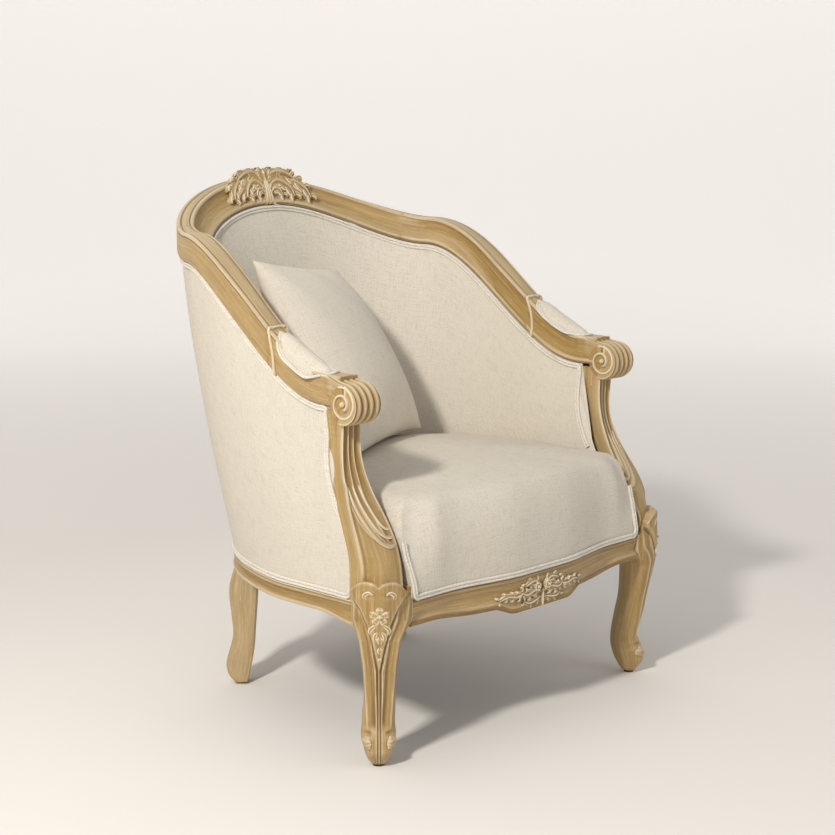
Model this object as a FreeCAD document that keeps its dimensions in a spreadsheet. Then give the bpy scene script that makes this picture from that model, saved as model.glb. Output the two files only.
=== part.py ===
"""A bergere tub chair: a carved show-wood frame, its hidden frame, upholstery and a loose throw pillow.

Millimetres, +Z up, the sitter faces -Y and "left" is -X. The origin is on the floor at the middle of
the chair's length and width. The shapes are laid out on the y axis of the plan curve, and every
sub-part is then moved by frame_shift so that the origin comes to the middle.
"""

import FreeCAD, Part
import Sketcher
import math
import os

from FreeCAD import Placement, Rotation, Vector

# Driving dimensions: alias, value, meaning
DIMENSIONS = [
    ("arm_half_width", 336, "outer edge of the top rail over the arms"),
    ("back_reach", 345, "outer edge of the top rail at the middle of the back"),
    ("plan_power", 2.3, "fullness of the plan curve, 2 is an ellipse"),
    ("crest_height", 880, "top of the rail at the middle of the back"),
    ("crown_height", 900, "top of the carved crest"),
    ("crown_half_width", 112, "half the width of the carved crest"),
    ("shoulder_height", 802, "top of the rail at the back corners"),
    ("shoulder_path", 374, "path along the rail from the middle to the shoulder"),
    ("crest_joint_path", 320, "path along the rail from the middle to the crest joint"),
    ("arm_step_y", -72, "joint of shoulder rail and arm"),
    ("tab_y", -199, "front end of the arm pad's bed"),
    ("tab_height", 605, "top of the arm in front of its pad"),
    ("rail_depth", 48, "thickness of the top rail square to its run"),
    ("rail_width", 55, "width of the top rail at the back, bead to outer face"),
    ("arm_width", 38, "width of the arm"),
    ("band_width", 30, "flat band on top of the rail at the back"),
    ("ramp_band_width", 42, "flat band on top of the rail above the arms"),
    ("cove_depth", 5, "hollow of the rail's inner face"),
    ("scroll_y", -248, "eye of the hand scroll"),
    ("scroll_height", 564, "eye of the hand scroll"),
    ("scroll_radius", 31, "radius of the hand scroll"),
    ("scroll_width", 60, "width of the hand scroll"),
    ("post_top", 537, "seat of the arm on its post"),
    ("post_foot", 291, "seat of the post on the knee"),
    ("post_depth", 36, "thickness of the arm post, front to back"),
    ("back_lean", 115, "overhang of the rail over the seat frame at the back"),
    ("side_flare", 10, "seat frame beyond the arm at the sides"),
    ("lean_path", 670, "path along the rail at which the lean has gone"),
    ("seat_rail_bottom", 232, "underside of the side and back seat rails"),
    ("seat_rail_edge", 262, "top of the show face of the seat rails"),
    ("seat_rail_top", 285, "top of the seat rails under the upholstery"),
    ("seat_rail_thickness", 34, "thickness of the seat rails"),
    ("rebate", 4, "step that takes the cover's edge"),
    ("side_rail_path", 300, "path along the rail from the middle to the rear leg's joint"),
    ("apron_bow", 360, "front face of the front rail at the middle"),
    ("apron_side", 338, "front face of the front rail at the knees"),
    ("apron_low", 201, "underside of the carved drop of the front rail"),
    ("apron_rise", 13, "underside of the front rail beside its drop, above it"),
    ("apron_end_rise", 8, "further rise of the underside towards the knees"),
    ("knee_inner_x", 287, "end of the front rail"),
    ("knee_inner_y", -276, "end of the side rail"),
    ("knee_width", 357, "outer edge of the knee"),
    ("knee_bottom", 221, "underside of the knee block"),
    ("front_foot_x", 323, "centre of the front foot"),
    ("front_foot_y", -300, "centre of the front foot"),
    ("rear_foot_x", 196, "centre of the rear foot"),
    ("rear_foot_y", 163.5, "centre of the rear foot"),
    ("rear_leg_thickness", 38, "thickness of the rear leg"),
    ("glide_radius", 9, "radius of a foot glide"),
    ("glide_height", 4, "height of a foot glide"),
    ("dowel_radius", 4, "radius of a dowel"),
    ("dowel_length", 40, "length of a dowel"),
    ("dowel_play", 0.1, "room round a dowel"),
    ("screw_radius", 2.2, "radius of a corner screw's shank"),
    ("screw_length", 34, "length of a corner screw's shank"),
    ("block_reach", 62, "length of a front corner block along its rails"),
    ("rear_block_depth", 24, "depth of a rear corner block"),
    ("screw_head_radius", 4.2, "radius of a corner screw's head"),
    ("screw_head_height", 2.6, "height of a corner screw's head"),
    ("block_height", 34, "height of a corner block"),
    ("knee_chamfer", 14, "chamfer of the knee's hidden corner"),
    ("post_seat", 45, "length of the arm's flat seat on its post, from the scroll's eye"),
    ("stile_width", 44, "width of a back stile"),
    ("stile_thickness", 16, "thickness of a back stile"),
    ("strap_width", 50, "width of a webbing strap"),
    ("strap_thickness", 1.6, "thickness of a webbing strap"),
    ("strap_gap", 34, "gap between webbing straps"),
    ("deck_thickness", 1.2, "thickness of the deck cloth"),
    ("cover_thickness", 2, "thickness of a cover with its lining"),
    ("clearance", 0.3, "room between soft pieces and their neighbours"),
    ("back_wall", 85, "thickness of the back at the seat, from the rail's face"),
    ("arm_wall", 62, "thickness of an arm at the seat, from the rail's face"),
    ("back_crown", 16, "roundness of the inside back"),
    ("arm_crown", 9, "roundness of the inside arms"),
    ("outside_crown", 13, "roundness of the outside cover"),
    ("seat_half_front", 285, "half the width of the seat between the posts"),
    ("seat_gap", 1.2, "room between the seat and the inside cover"),
    ("front_overhang", 3.6, "reach of the seat beyond the front rail"),
    ("seat_edge", 398, "height of the seat at its edge"),
    ("seat_crown", 434, "height of the seat at its middle"),
    ("welt_width", 9, "width of the double welt"),
    ("welt_height", 4, "height of the double welt"),
    ("pad_length", 112, "length of an arm pad"),
    ("pad_width", 29, "width of an arm pad"),
    ("pad_height", 17, "height of an arm pad above its bed"),
    ("pillow_size", 372, "side of the throw pillow"),
    ("pillow_thickness", 118, "thickness of the throw pillow at its middle"),
    ("pillow_edge", 9, "thickness of the throw pillow at its seam"),
    ("pillow_x", -46, "centre of the throw pillow"),
    ("pillow_y", 62, "centre of the throw pillow"),
    ("pillow_z", 597, "centre of the throw pillow"),
    ("pillow_turn", 25, "turn of the throw pillow about the vertical"),
    ("pillow_lean", 26, "lean of the throw pillow"),
]

doc = FreeCAD.newDocument("bergere_chair")
sheet = doc.addObject("Spreadsheet::Sheet", "dimensions")
for row, (alias, value, meaning) in enumerate(DIMENSIONS, start=1):
    sheet.set(f"A{row}", meaning)
    sheet.set(f"B{row}", str(value))
    sheet.setAlias(f"B{row}", alias)
sheet.set(f"A{len(DIMENSIONS) + 1}", "move that brings the origin to the middle of the length")
sheet.set(f"B{len(DIMENSIONS) + 1}", "=(apron_bow + front_overhang - back_reach) / 2")
sheet.setAlias(f"B{len(DIMENSIONS) + 1}", "frame_shift")
doc.recompute()


class Sizes:
    """The driving dimensions, read from the sheet by name."""

    def __getattr__(self, name):
        return float(sheet.get(name))


size = Sizes()
PLAN_STEPS = 360
ARM_RUN = 420
STATION_GAP = 22


def smoothstep(value):
    """Ease from 0 to 1 while value goes from 0 to 1."""
    value = min(max(value, 0.0), 1.0)
    return value * value * (3 - 2 * value)


# Plan curve of the top rail's outer edge, from the middle of the back round to the arm's front

def make_plan():
    """Return plan points of the right half and the path length at each."""
    points = []
    for step in range(PLAN_STEPS + 1):
        angle = 0.5 * math.pi * step / PLAN_STEPS
        across = math.sin(angle) ** (2 / size.plan_power)
        along = math.cos(angle) ** (2 / size.plan_power)
        points.append((size.arm_half_width * across, size.back_reach * max(along, 0.0)))
    points.append((size.arm_half_width, -ARM_RUN))
    lengths = [0.0]
    for first, second in zip(points, points[1:]):
        lengths.append(lengths[-1] + math.dist(first, second))
    return points, lengths


PLAN_POINTS, PLAN_LENGTHS = make_plan()
STRAIGHT_PATH = PLAN_LENGTHS[-2]


def path_at_y(y):
    """Path length at which the straight part of the plan passes y."""
    return STRAIGHT_PATH - y


def plan_point(path):
    """Plan point at a path length; negative lengths are on the left half."""
    reach = abs(path)
    low, high = 0, len(PLAN_LENGTHS) - 1
    while high - low > 1:
        middle = (low + high) // 2
        if PLAN_LENGTHS[middle] <= reach:
            low = middle
        else:
            high = middle
    span = PLAN_LENGTHS[high] - PLAN_LENGTHS[low]
    part = (reach - PLAN_LENGTHS[low]) / span
    x = PLAN_POINTS[low][0] + part * (PLAN_POINTS[high][0] - PLAN_POINTS[low][0])
    y = PLAN_POINTS[low][1] + part * (PLAN_POINTS[high][1] - PLAN_POINTS[low][1])
    return math.copysign(x, path), y


def plan_normal(path):
    """Outward unit normal of the plan curve, from points 12 mm either side."""
    x1, y1 = plan_point(path - 12)
    x2, y2 = plan_point(path + 12)
    run = math.hypot(x2 - x1, y2 - y1)
    return -(y2 - y1) / run, (x2 - x1) / run


def top_height(path):
    """Height of the top rail: a crest, a shoulder and a ramp down to the arm."""
    path = abs(path)
    if path <= size.shoulder_path:
        bell = 0.5 * (1 + math.cos(math.pi * path / size.shoulder_path))
        return size.shoulder_height + (size.crest_height - size.shoulder_height) * bell ** 0.85
    run = (path - size.shoulder_path) / (path_at_y(size.tab_y) - size.shoulder_path)
    fall = smoothstep(min(run, 1.0) ** 1.1)
    return size.shoulder_height - (size.shoulder_height - size.tab_height) * fall


def rail_height(path):
    """Vertical thickness of the top rail, which grows where the rail slopes."""
    slope = (top_height(path + 2) - top_height(path - 2)) / 4
    return size.rail_depth * math.hypot(1, slope)


def lean(path):
    """How far the seat frame lies inside the top rail's outer edge."""
    run = (abs(path) / size.lean_path) ** 1.8
    return size.back_lean - (size.back_lean + size.side_flare) * smoothstep(run)


def rail_reach(path):
    """Width of the top rail from its outer face to its inner bead."""
    run = (abs(path) - 400) / (path_at_y(size.arm_step_y) - 400)
    return size.rail_width + (size.arm_width + 2 - size.rail_width) * smoothstep(run)


def band_reach(path):
    """Width of the flat band on top of the rail."""
    run = (abs(path) - 300) / 155
    band = size.band_width + (size.ramp_band_width - size.band_width) * smoothstep(run)
    return min(band, rail_reach(path) - 2)


def at(path, outward, height):
    """Point at a path length, a distance outward from the rail's edge, and a height."""
    x, y = plan_point(path)
    nx, ny = plan_normal(path)
    return Vector(x + nx * outward, y + ny * outward, height)


def spread(first, last, count):
    """Evenly spaced values from first to last."""
    return [first + (last - first) * step / (count - 1) for step in range(count)]


def stations(first, last):
    """Path lengths from first to last, no further apart than STATION_GAP."""
    count = math.ceil(abs(last - first) / STATION_GAP) + 1
    return spread(first, last, max(count, 4))


def line_wire(points):
    """Closed wire of straight edges."""
    return Part.makePolygon(points + [points[0]])


def curve(points):
    """Smooth edge through points."""
    spline = Part.BSplineCurve()
    spline.interpolate(points)
    return spline.toShape()


def rounded_wire(points):
    """Closed wire of arcs, each over one corner point between two face points."""
    count = len(points)
    edges = []
    for start in range(0, count, 2):
        arc = Part.Arc(points[start], points[start + 1], points[(start + 2) % count])
        edges.append(arc.toShape())
    return Part.Wire(edges)


def loft(wires, ruled=False):
    """Solid through closed wires, smooth but of low degree so that it doesn't swing out."""
    solid = Part.makeLoft(wires, True, ruled, False, 3)
    if solid.Volume < 0:
        solid.reverse()
    return solid


def through(points, parameters):
    """Spline through points at given parameters."""
    spline = Part.BSplineCurve()
    spline.interpolate(Points=list(points), Parameters=list(parameters))
    return spline


def grid_face(rows, along):
    """Face through rows of points, bounded lengthwise by the splines through its outer rows."""
    lengthwise = [through(row, along) for row in rows]
    first = lengthwise[0]
    columns = list(zip(*[spline.getPoles() for spline in lengthwise]))
    crosswise = [through(column, spread(0, 1, len(rows))) for column in columns]
    across = crosswise[0]
    surface = Part.BSplineSurface()
    surface.buildFromPolesMultsKnots(
        [spline.getPoles() for spline in crosswise],
        first.getMultiplicities(), across.getMultiplicities(),
        first.getKnots(), across.getKnots(), False, False, first.Degree, across.Degree)
    return surface.toShape()


def straight_sides(corners):
    """Sides of a section whose corners are joined by straight lines."""
    return [[first, second] for first, second in zip(corners, corners[1:] + corners[:1])]


def sweep(sections, along):
    """Solid through sections at increasing lengths; a section is its sides, a side its points."""
    faces = []
    for number, side in enumerate(sections[0]):
        rows = [[section[number][index] for section in sections] for index in range(len(side))]
        faces.append(grid_face(rows, along))
    for section in (sections[0], sections[-1]):
        edges = [through(side, spread(0, 1, len(side))).toShape() for side in section]
        faces.append(Part.Face(Part.Wire(edges)))
    skin = Part.makeCompound(faces)
    skin.sewShape(0.005)
    solid = Part.makeSolid(skin.Shells[0])
    if solid.Volume < 0:
        solid.reverse()
    return solid


def swept(section_at, paths):
    """Solid through the sections that a function gives at path lengths."""
    return sweep([section_at(path) for path in paths], paths)


def mirrored(shape):
    """The same shape on the left of the chair."""
    return shape.mirror(Vector(0, 0, 0), Vector(1, 0, 0))


def box(x1, x2, y1, y2, z1, z2):
    """Box between two corners."""
    return Part.makeBox(x2 - x1, y2 - y1, z2 - z1, Vector(x1, y1, z1))


# Dowels: centre and direction of each, on the right half

def dowel_places():
    """Centre and direction of each dowel on the right half of the chair."""
    places = []
    for path in (size.crest_joint_path, path_at_y(size.arm_step_y)):
        ahead = at(path + 6, 0, top_height(path + 6)) - at(path - 6, 0, top_height(path - 6))
        for drop in (0.36, 0.68):
            centre = at(path, -0.5 * rail_reach(path), top_height(path) - drop * rail_height(path))
            places.append((centre, ahead))
    post_x = size.scroll_width / 2 + size.knee_inner_x - 8
    for side in (-8, 8):
        places.append((Vector(post_x + side, size.scroll_y + 26, size.post_top), Vector(0, 0, 1)))
        knee_x = 0.5 * (size.knee_inner_x + size.knee_width)
        knee = Vector(knee_x + side, -size.apron_side + 40 + side, size.post_foot)
        places.append((knee, Vector(0, 0, 1)))
        rear = Vector(size.rear_foot_x - 10 - side, size.rear_foot_y - 11 + side, size.seat_rail_bottom)
        places.append((rear, Vector(0, 0, 1)))
        rail_z = 0.5 * (size.seat_rail_bottom + size.seat_rail_top) + side
        front = Vector(size.knee_inner_x, -size.apron_side + 17, rail_z)
        places.append((front, Vector(1, 0, 0)))
        edge = size.arm_half_width + size.side_flare - size.seat_rail_thickness / 2
        places.append((Vector(edge, size.knee_inner_y, rail_z), Vector(0, 1, 0)))
    return places


def pin(centre, direction, radius, length):
    """Cylinder about a centre."""
    direction = Vector(direction).normalize()
    return Part.makeCylinder(radius, length, centre - direction * (length / 2), direction)


def screw_places():
    """Head seat and direction of each corner screw on the right half of the chair."""
    places = []
    block_z = 0.5 * (size.seat_rail_bottom + size.seat_rail_top)
    inner_edge = size.arm_half_width + size.side_flare - size.seat_rail_thickness
    rear_edge = -size.apron_side + size.seat_rail_thickness
    middle = Vector(inner_edge - size.block_reach / 2, rear_edge + size.block_reach / 2, block_z)
    for side in (-9, 9):
        places.append((middle + Vector(0, 0, side), Vector(1, -1, 0)))
    for side in (-22, 22):
        path = size.side_rail_path + side
        outward = -lean(path) - size.seat_rail_thickness - size.rear_block_depth
        nx, ny = plan_normal(path)
        places.append((at(path, outward, block_z), Vector(nx, ny, 0)))
    return places


def make_dowel_holes():
    """Holes for the dowels of the right half."""
    radius = size.dowel_radius + size.dowel_play
    return [pin(centre, direction, radius, size.dowel_length + 2)
            for centre, direction in dowel_places()]


def make_screw_holes():
    """Holes for the screws of the right half, with room for their heads."""
    holes = []
    for seat, direction in screw_places():
        direction = Vector(direction).normalize()
        shank = Part.makeCylinder(size.screw_radius + size.dowel_play, size.screw_length + 1,
                                  seat, direction)
        depth = size.screw_head_height + 1
        head = Part.makeCylinder(size.screw_head_radius + 2 * size.dowel_play, depth,
                                 seat - direction * depth, direction)
        holes.append(shank.fuse(head))
    return holes


SCREW_HOLES = make_screw_holes()
HOLES = make_dowel_holes() + SCREW_HOLES


def bored(shape, both_sides=False):
    """The shape with its dowel and screw holes."""
    holes = list(HOLES)
    if both_sides:
        holes += [mirrored(hole) for hole in HOLES]
    return shape.cut(holes)


# Show wood

def rail_section(path, grow=0.0):
    """Section of the top rail: outer face, top band, hollow inner face and underside."""
    top = top_height(path)
    deep = rail_height(path)
    band = band_reach(path)
    reach = rail_reach(path)
    outer = at(path, grow, top + grow)
    inner = at(path, -band - grow, top + grow)
    bead = at(path, -reach - grow, top - 0.86 * deep)
    under = at(path, -reach + 3 - grow, top - deep - grow)
    foot = at(path, -6 + grow, top - deep - grow)
    hollow = []
    for share in spread(0, 1, 5):
        outward = -band - grow + (band - reach) * share + size.cove_depth * 4 * share * (1 - share)
        height = inner.z + (bead.z - inner.z) * share
        hollow.append(at(path, outward, height))
    return [[outer, inner], hollow, [bead, under], [under, foot], [foot, outer]]


def make_crest_rail():
    """Crest rail with the raised mass of its carving."""
    joint = size.crest_joint_path
    rail = swept(rail_section, stations(-joint, joint))
    half = size.crown_half_width
    low = size.crest_height - 14
    rise = size.crown_height
    front = size.back_reach - size.band_width - 4
    outline = [
        Part.makeLine(Vector(-half, front, low), Vector(half, front, low)),
        curve([
            Vector(half, front, low),
            Vector(0.78 * half, front, rise - 12),
            Vector(0.45 * half, front, rise - 4),
            Vector(0, front, rise),
            Vector(-0.45 * half, front, rise - 4),
            Vector(-0.78 * half, front, rise - 12),
            Vector(-half, front, low),
        ]),
    ]
    crown = Part.Face(Part.Wire(outline)).extrude(Vector(0, size.band_width - 2, 0))
    return bored(rail.fuse(crown).removeSplitter(), True)


def make_shoulder_rail():
    """Rail from the crest joint down the ramp to the arm."""
    return bored(swept(rail_section, stations(size.crest_joint_path, path_at_y(size.arm_step_y))))


def make_arm():
    """Arm with its bed for the pad and its hand scroll."""
    run = swept(rail_section, stations(path_at_y(size.arm_step_y), path_at_y(size.scroll_y + 14)))
    left = size.knee_inner_x
    scroll = Part.makeCylinder(
        size.scroll_radius, size.scroll_width,
        Vector(left, size.scroll_y, size.scroll_height), Vector(1, 0, 0))
    inner = size.arm_half_width - rail_reach(path_at_y(size.scroll_y)) + 2
    boss = box(inner, size.arm_half_width, size.scroll_y, size.scroll_y + size.post_seat,
               size.post_top, size.scroll_height)
    below = box(left - 5, left + size.scroll_width + 5, size.scroll_y - 60, size.scroll_y + 60,
                size.post_top - 40, size.post_top)
    return bored(run.fuse([scroll, boss]).cut(below).removeSplitter())


# Arm post sections: part of its length, inner edge beyond the knee's inner side, its place from the
# scroll's eye (0) to the front rail (1), outer edge from the arm (0) to the knee (1), and its place
POST_FRONT = [
    (1.00, 11, -0.09, 0.00, -0.11),
    (0.81, 12, -0.10, -0.05, -0.15),
    (0.69, 11, -0.03, 0.00, -0.13),
    (0.54, 8, 0.15, 0.24, 0.01),
    (0.41, 4, 0.39, 0.62, 0.22),
    (0.27, 3, 0.64, 1.00, 0.45),
    (0.14, 7, 0.81, 1.14, 0.59),
    (0.00, 15, 0.95, 1.05, 0.53),
]


def post_corners(row):
    """Height, and the inner and outer front corners, of a section of the arm post."""
    part, inner_offset, inner_place, outer_part, outer_place = row
    z = size.post_foot + part * (size.post_top - size.post_foot)
    run = -size.apron_side - size.scroll_y
    inner = Vector(size.knee_inner_x + inner_offset, size.scroll_y + inner_place * run, z)
    outer_x = size.arm_half_width + outer_part * (size.knee_width - size.arm_half_width)
    return inner, Vector(outer_x, size.scroll_y + outer_place * run, z)


def post_wire(row, grow=0.0):
    """Section of the arm post at one height."""
    inner, outer = post_corners(row)
    spreading = 10 * (1 - row[0])
    return line_wire([
        inner + Vector(-grow, -grow, 0),
        outer + Vector(grow, -grow, 0),
        outer + Vector(grow - 0.5 * spreading, size.post_depth - 8 + grow, 0),
        inner + Vector(spreading - grow, size.post_depth + grow, 0),
    ])


def make_arm_post():
    """Curved post from the knee to the hand scroll."""
    return bored(loft([post_wire(row) for row in POST_FRONT]))


# Front leg sections, for a leg of LEG_HEIGHT: height, offset of the middle outward on the diagonal,
# half diagonal, half width
LEG_HEIGHT = 221
FRONT_LEG = [
    (4, 0, 12, 13),
    (12, 0, 19, 20),
    (27, 0, 27, 26),
    (46, -4, 28, 28),
    (62, -10, 24, 26),
    (80, -9, 24, 26),
    (107, -4, 25, 27),
    (144, 3, 25, 28),
    (185, 8, 28, 33),
    (228, 11, 32, 40),
]


def leg_height(height):
    """Height of a front leg section, stretched to the knee above the glide."""
    stretch = (size.knee_bottom - size.glide_height) / (LEG_HEIGHT - FRONT_LEG[0][0])
    return size.glide_height + (height - FRONT_LEG[0][0]) * stretch


def make_front_leg():
    """Cabriole front leg with the knee block that carries the rails and the arm post."""
    wires = []
    turn = math.sqrt(0.5)
    for height, offset, half_diagonal, half_width in FRONT_LEG:
        points = []
        for step in range(8):
            angle = math.pi * step / 4
            square = 1.0 if step % 2 == 0 else 0.86
            out = offset + half_diagonal * square * math.cos(angle)
            side = half_width * square * math.sin(angle)
            x = size.front_foot_x + turn * out + turn * side
            y = size.front_foot_y - turn * out + turn * side
            points.append(Vector(x, y, leg_height(height)))
        wires.append(rounded_wire(points))
    leg = loft(wires)
    bottom = size.knee_bottom
    corner = Vector(size.knee_inner_x, -size.apron_side - 2, bottom)
    side = Vector(size.knee_width, size.knee_inner_y, bottom)
    apex = Vector(size.knee_width - 7, -size.apron_side + 5, bottom)
    chamfer_side = Vector(size.knee_inner_x + size.knee_chamfer, size.knee_inner_y, bottom)
    chamfer_front = Vector(size.knee_inner_x, size.knee_inner_y - size.knee_chamfer, bottom)
    edges = [
        Part.Arc(corner, apex, side).toShape(),
        Part.makeLine(side, chamfer_side),
        Part.makeLine(chamfer_side, chamfer_front),
        Part.makeLine(chamfer_front, corner),
    ]
    knee = Part.Face(Part.Wire(edges)).extrude(Vector(0, 0, size.post_foot - bottom))
    return bored(leg.fuse(knee).removeSplitter())


# Rear leg sections: height, outer and inner reach on the diagonal from the foot's centre
REAR_LEG = [
    (4, 13, -9),
    (20, 25, -13),
    (40, 28, -17),
    (66, 21, -21),
    (94, 15, -23),
    (131, 18, -26),
    (173, 21, -29),
    (208, 13, -31),
    (232, 5, -35),
]


def make_rear_leg():
    """Plain cabriole rear leg, cut from a plank and set on the diagonal."""
    wires = []
    turn = math.sqrt(0.5)
    foot, top = REAR_LEG[0][0], REAR_LEG[-1][0]
    for height, outer, inner in REAR_LEG:
        share = (height - foot) / (top - foot)
        z = size.glide_height + share * (size.seat_rail_bottom - size.glide_height)
        points = []
        half = size.rear_leg_thickness / 2
        for reach, side in ((outer, -half), (outer, half), (inner, half), (inner, -half)):
            x = size.rear_foot_x + turn * (reach - side)
            y = size.rear_foot_y + turn * (reach + side)
            points.append(Vector(x, y, z))
        wires.append(line_wire(points))
    return bored(loft(wires))


def seat_rail_section(path):
    """Section of a seat rail: show face, rebate and hidden top."""
    face = -lean(path)
    low, edge, top = size.seat_rail_bottom, size.seat_rail_edge, size.seat_rail_top
    back = face - size.seat_rail_thickness
    return straight_sides([
        at(path, face, low),
        at(path, face, edge),
        at(path, face - size.rebate, edge),
        at(path, face - size.rebate, top),
        at(path, back, top),
        at(path, back, low),
    ])


def make_side_rail():
    """Side seat rail from the rear leg's joint to the knee."""
    return bored(swept(seat_rail_section, stations(size.side_rail_path, path_at_y(size.knee_inner_y))))


def make_back_rail():
    """Back seat rail between the rear legs' joints."""
    return bored(swept(seat_rail_section, stations(-size.side_rail_path, size.side_rail_path)), True)


def apron_face(x):
    """Y of the front rail's face: bowed in the middle."""
    return -size.apron_bow + (size.apron_bow - size.apron_side) * smoothstep((abs(x) - 50) / 160)


def apron_bottom(x):
    """Underside of the front rail: a carved drop in the middle, then a shallow arch."""
    drop = size.apron_rise * smoothstep((abs(x) - 66) / 44)
    return size.apron_low + drop + size.apron_end_rise * smoothstep((abs(x) - 150) / 100)


def apron_sweep(half, section_at):
    """Solid along the front rail, through the sections that a function gives at each x."""
    places = spread(-half, half, 33)
    return sweep([straight_sides(section_at(x)) for x in places], places)


def front_rail_section(x):
    """Section of the front rail with its rebate."""
    face = apron_face(x)
    rear = -size.apron_side + size.seat_rail_thickness
    return [
        Vector(x, face, apron_bottom(x)),
        Vector(x, face, size.seat_rail_edge),
        Vector(x, face + size.rebate, size.seat_rail_edge),
        Vector(x, face + size.rebate, size.seat_rail_top),
        Vector(x, rear, size.seat_rail_top),
        Vector(x, rear, apron_bottom(x)),
    ]


def make_front_rail():
    """Serpentine front rail with its carved drop."""
    return bored(apron_sweep(size.knee_inner_x, front_rail_section), True)


def make_stile():
    """Hidden upright from the back seat rail to the crest rail."""
    path = size.crest_joint_path - size.stile_width - 6
    wires = []
    for height, outward in ((size.seat_rail_top, -lean(path) - size.rebate - 4),
                            (top_height(path) - rail_height(path) - 0.2, -14)):
        corners = []
        for along, across in ((-1, 0), (1, 0), (1, -1), (-1, -1)):
            place = at(path, outward + across * size.stile_thickness, height)
            nx, ny = plan_normal(path)
            shift = 0.5 * along * size.stile_width
            corners.append(place + Vector(ny * shift, -nx * shift, 0))
        wires.append(line_wire(corners))
    rail = swept(lambda step: rail_section(step, 0.2), stations(path - 66, path + 66))
    return loft(wires, True).cut(rail)


# Corner blocks, screws and dowels

def make_rear_block():
    """Corner block that fits the hollow side of the rear joint."""
    paths = stations(size.side_rail_path - 44, size.side_rail_path + 44)
    low = 0.5 * (size.seat_rail_bottom + size.seat_rail_top - size.block_height)
    outer = [at(path, -lean(path) - size.seat_rail_thickness - 0.2, low) for path in paths]
    depth = size.seat_rail_thickness + size.rear_block_depth
    inner = [at(path, -lean(path) - depth, low) for path in (paths[-1] - 14, paths[0] + 14)]
    edges = [curve(outer), Part.makeLine(outer[-1], inner[0]), Part.makeLine(inner[0], inner[1]),
             Part.makeLine(inner[1], outer[0])]
    return bored(Part.Face(Part.Wire(edges)).extrude(Vector(0, 0, size.block_height)))


def make_screws():
    """Corner screws of the whole chair."""
    screws = []
    for seat, direction in screw_places():
        direction = Vector(direction).normalize()
        shank = Part.makeCylinder(size.screw_radius, size.screw_length, seat, direction)
        head = Part.makeCylinder(size.screw_head_radius, size.screw_head_height,
                                 seat - direction * size.screw_head_height, direction)
        screws.append(shank.fuse(head).removeSplitter())
    return Part.makeCompound(screws + [mirrored(screw) for screw in screws])


def make_dowels():
    """Dowels of the whole chair."""
    dowels = [pin(centre, direction, size.dowel_radius, size.dowel_length)
              for centre, direction in dowel_places()]
    return Part.makeCompound(dowels + [mirrored(dowel) for dowel in dowels])


# Upholstery

def wall_share(path):
    """0 at the back and 1 at the arms."""
    return smoothstep((abs(path) - 300) / 300)


def inside_top(path):
    """Height of the upholstery's upper edge under the rail."""
    return top_height(path) - rail_height(path) - 1


def inside_outward(path, share):
    """Inside cover's face, from the rail's bead at share 0 to the deck at share 1."""
    top = -rail_reach(path) + 2
    thickness = size.back_wall + (size.arm_wall - size.back_wall) * wall_share(path)
    crown = size.back_crown + (size.arm_crown - size.back_crown) * wall_share(path)
    base = -lean(path) - thickness
    return top + (base - top) * share - crown * 4 * share * (1 - share)


def outside_outward(path, share):
    """Outside cover's face, from the rail's foot at share 0 to the seat rail at share 1."""
    base = -lean(path) - size.rebate + size.clearance + size.cover_thickness
    return -7 + (base + 7) * share + size.outside_crown * 4 * share * (1 - share)


DECK = size.seat_rail_top + 2 * size.strap_thickness + size.deck_thickness
PADDING_BOTTOM = max(DECK, size.post_foot) + 2 * size.clearance
OUTSIDE_BOTTOM = size.seat_rail_edge + 2 * size.clearance
FACE_SHARES = spread(0, 1, 9)
SEAT_BOTTOM = DECK + size.clearance
STILE_ROOM = 10


def face_points(path, outward_at, offset, bottom):
    """Points down a cover's face at one path length."""
    top = inside_top(path)
    return [at(path, outward_at(path, share) + offset, top + (bottom - top) * share)
            for share in FACE_SHARES]


def skin_section(path, outward_at, near, far, bottom):
    """Section of a cover between two offsets of its face."""
    first = face_points(path, outward_at, near, bottom)
    second = face_points(path, outward_at, far, bottom)
    second.reverse()
    return [first, [first[-1], second[0]], second, [second[-1], first[0]]]


def padding_section(path):
    """Section of the inside padding, from behind its cover to the hidden frame."""
    offset = size.cover_thickness + size.clearance
    first = face_points(path, inside_outward, offset, PADDING_BOTTOM)
    top = inside_top(path)
    upper = -rail_reach(path) + 14
    lower = -lean(path) - size.rebate - size.stile_thickness - STILE_ROOM
    back = [at(path, upper + (lower - upper) * share, top + (PADDING_BOTTOM - top) * share)
            for share in reversed(FACE_SHARES)]
    return [first, [first[-1], back[0]], back, [back[-1], first[0]]]


def post_back(height, outside):
    """Y of the arm post's back face, or of the arm's seat on it, at its inner or outer edge."""
    if height > size.post_top - 14:
        return size.scroll_y + size.post_seat
    rows = []
    for row in POST_FRONT:
        inner, outer = post_corners(row)
        if outside:
            rows.append((outer.z, outer.y + size.post_depth - 8))
        else:
            rows.append((inner.z, inner.y + size.post_depth))
    rows.sort()
    if height <= rows[0][0]:
        return rows[0][1]
    for (z1, y1), (z2, y2) in zip(rows, rows[1:]):
        if height <= z2:
            return y1 + (y2 - y1) * (height - z1) / (z2 - z1)
    return rows[-1][1]


def post_zone(outside, gap):
    """Everything in front of the arm posts' back faces."""
    heights = spread(size.seat_rail_bottom - 40, size.crest_height, 100)
    points = [Vector(-600, post_back(z, outside) + gap, z) for z in heights]
    points += [Vector(-600, -600, heights[-1]), Vector(-600, -600, heights[0])]
    return Part.Face(line_wire(points)).extrude(Vector(1200, 0, 0))


def wall_paths():
    """Stations round the whole tub, past the arm posts."""
    end = path_at_y(-size.apron_side + 28)
    return stations(-end, end)


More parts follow.
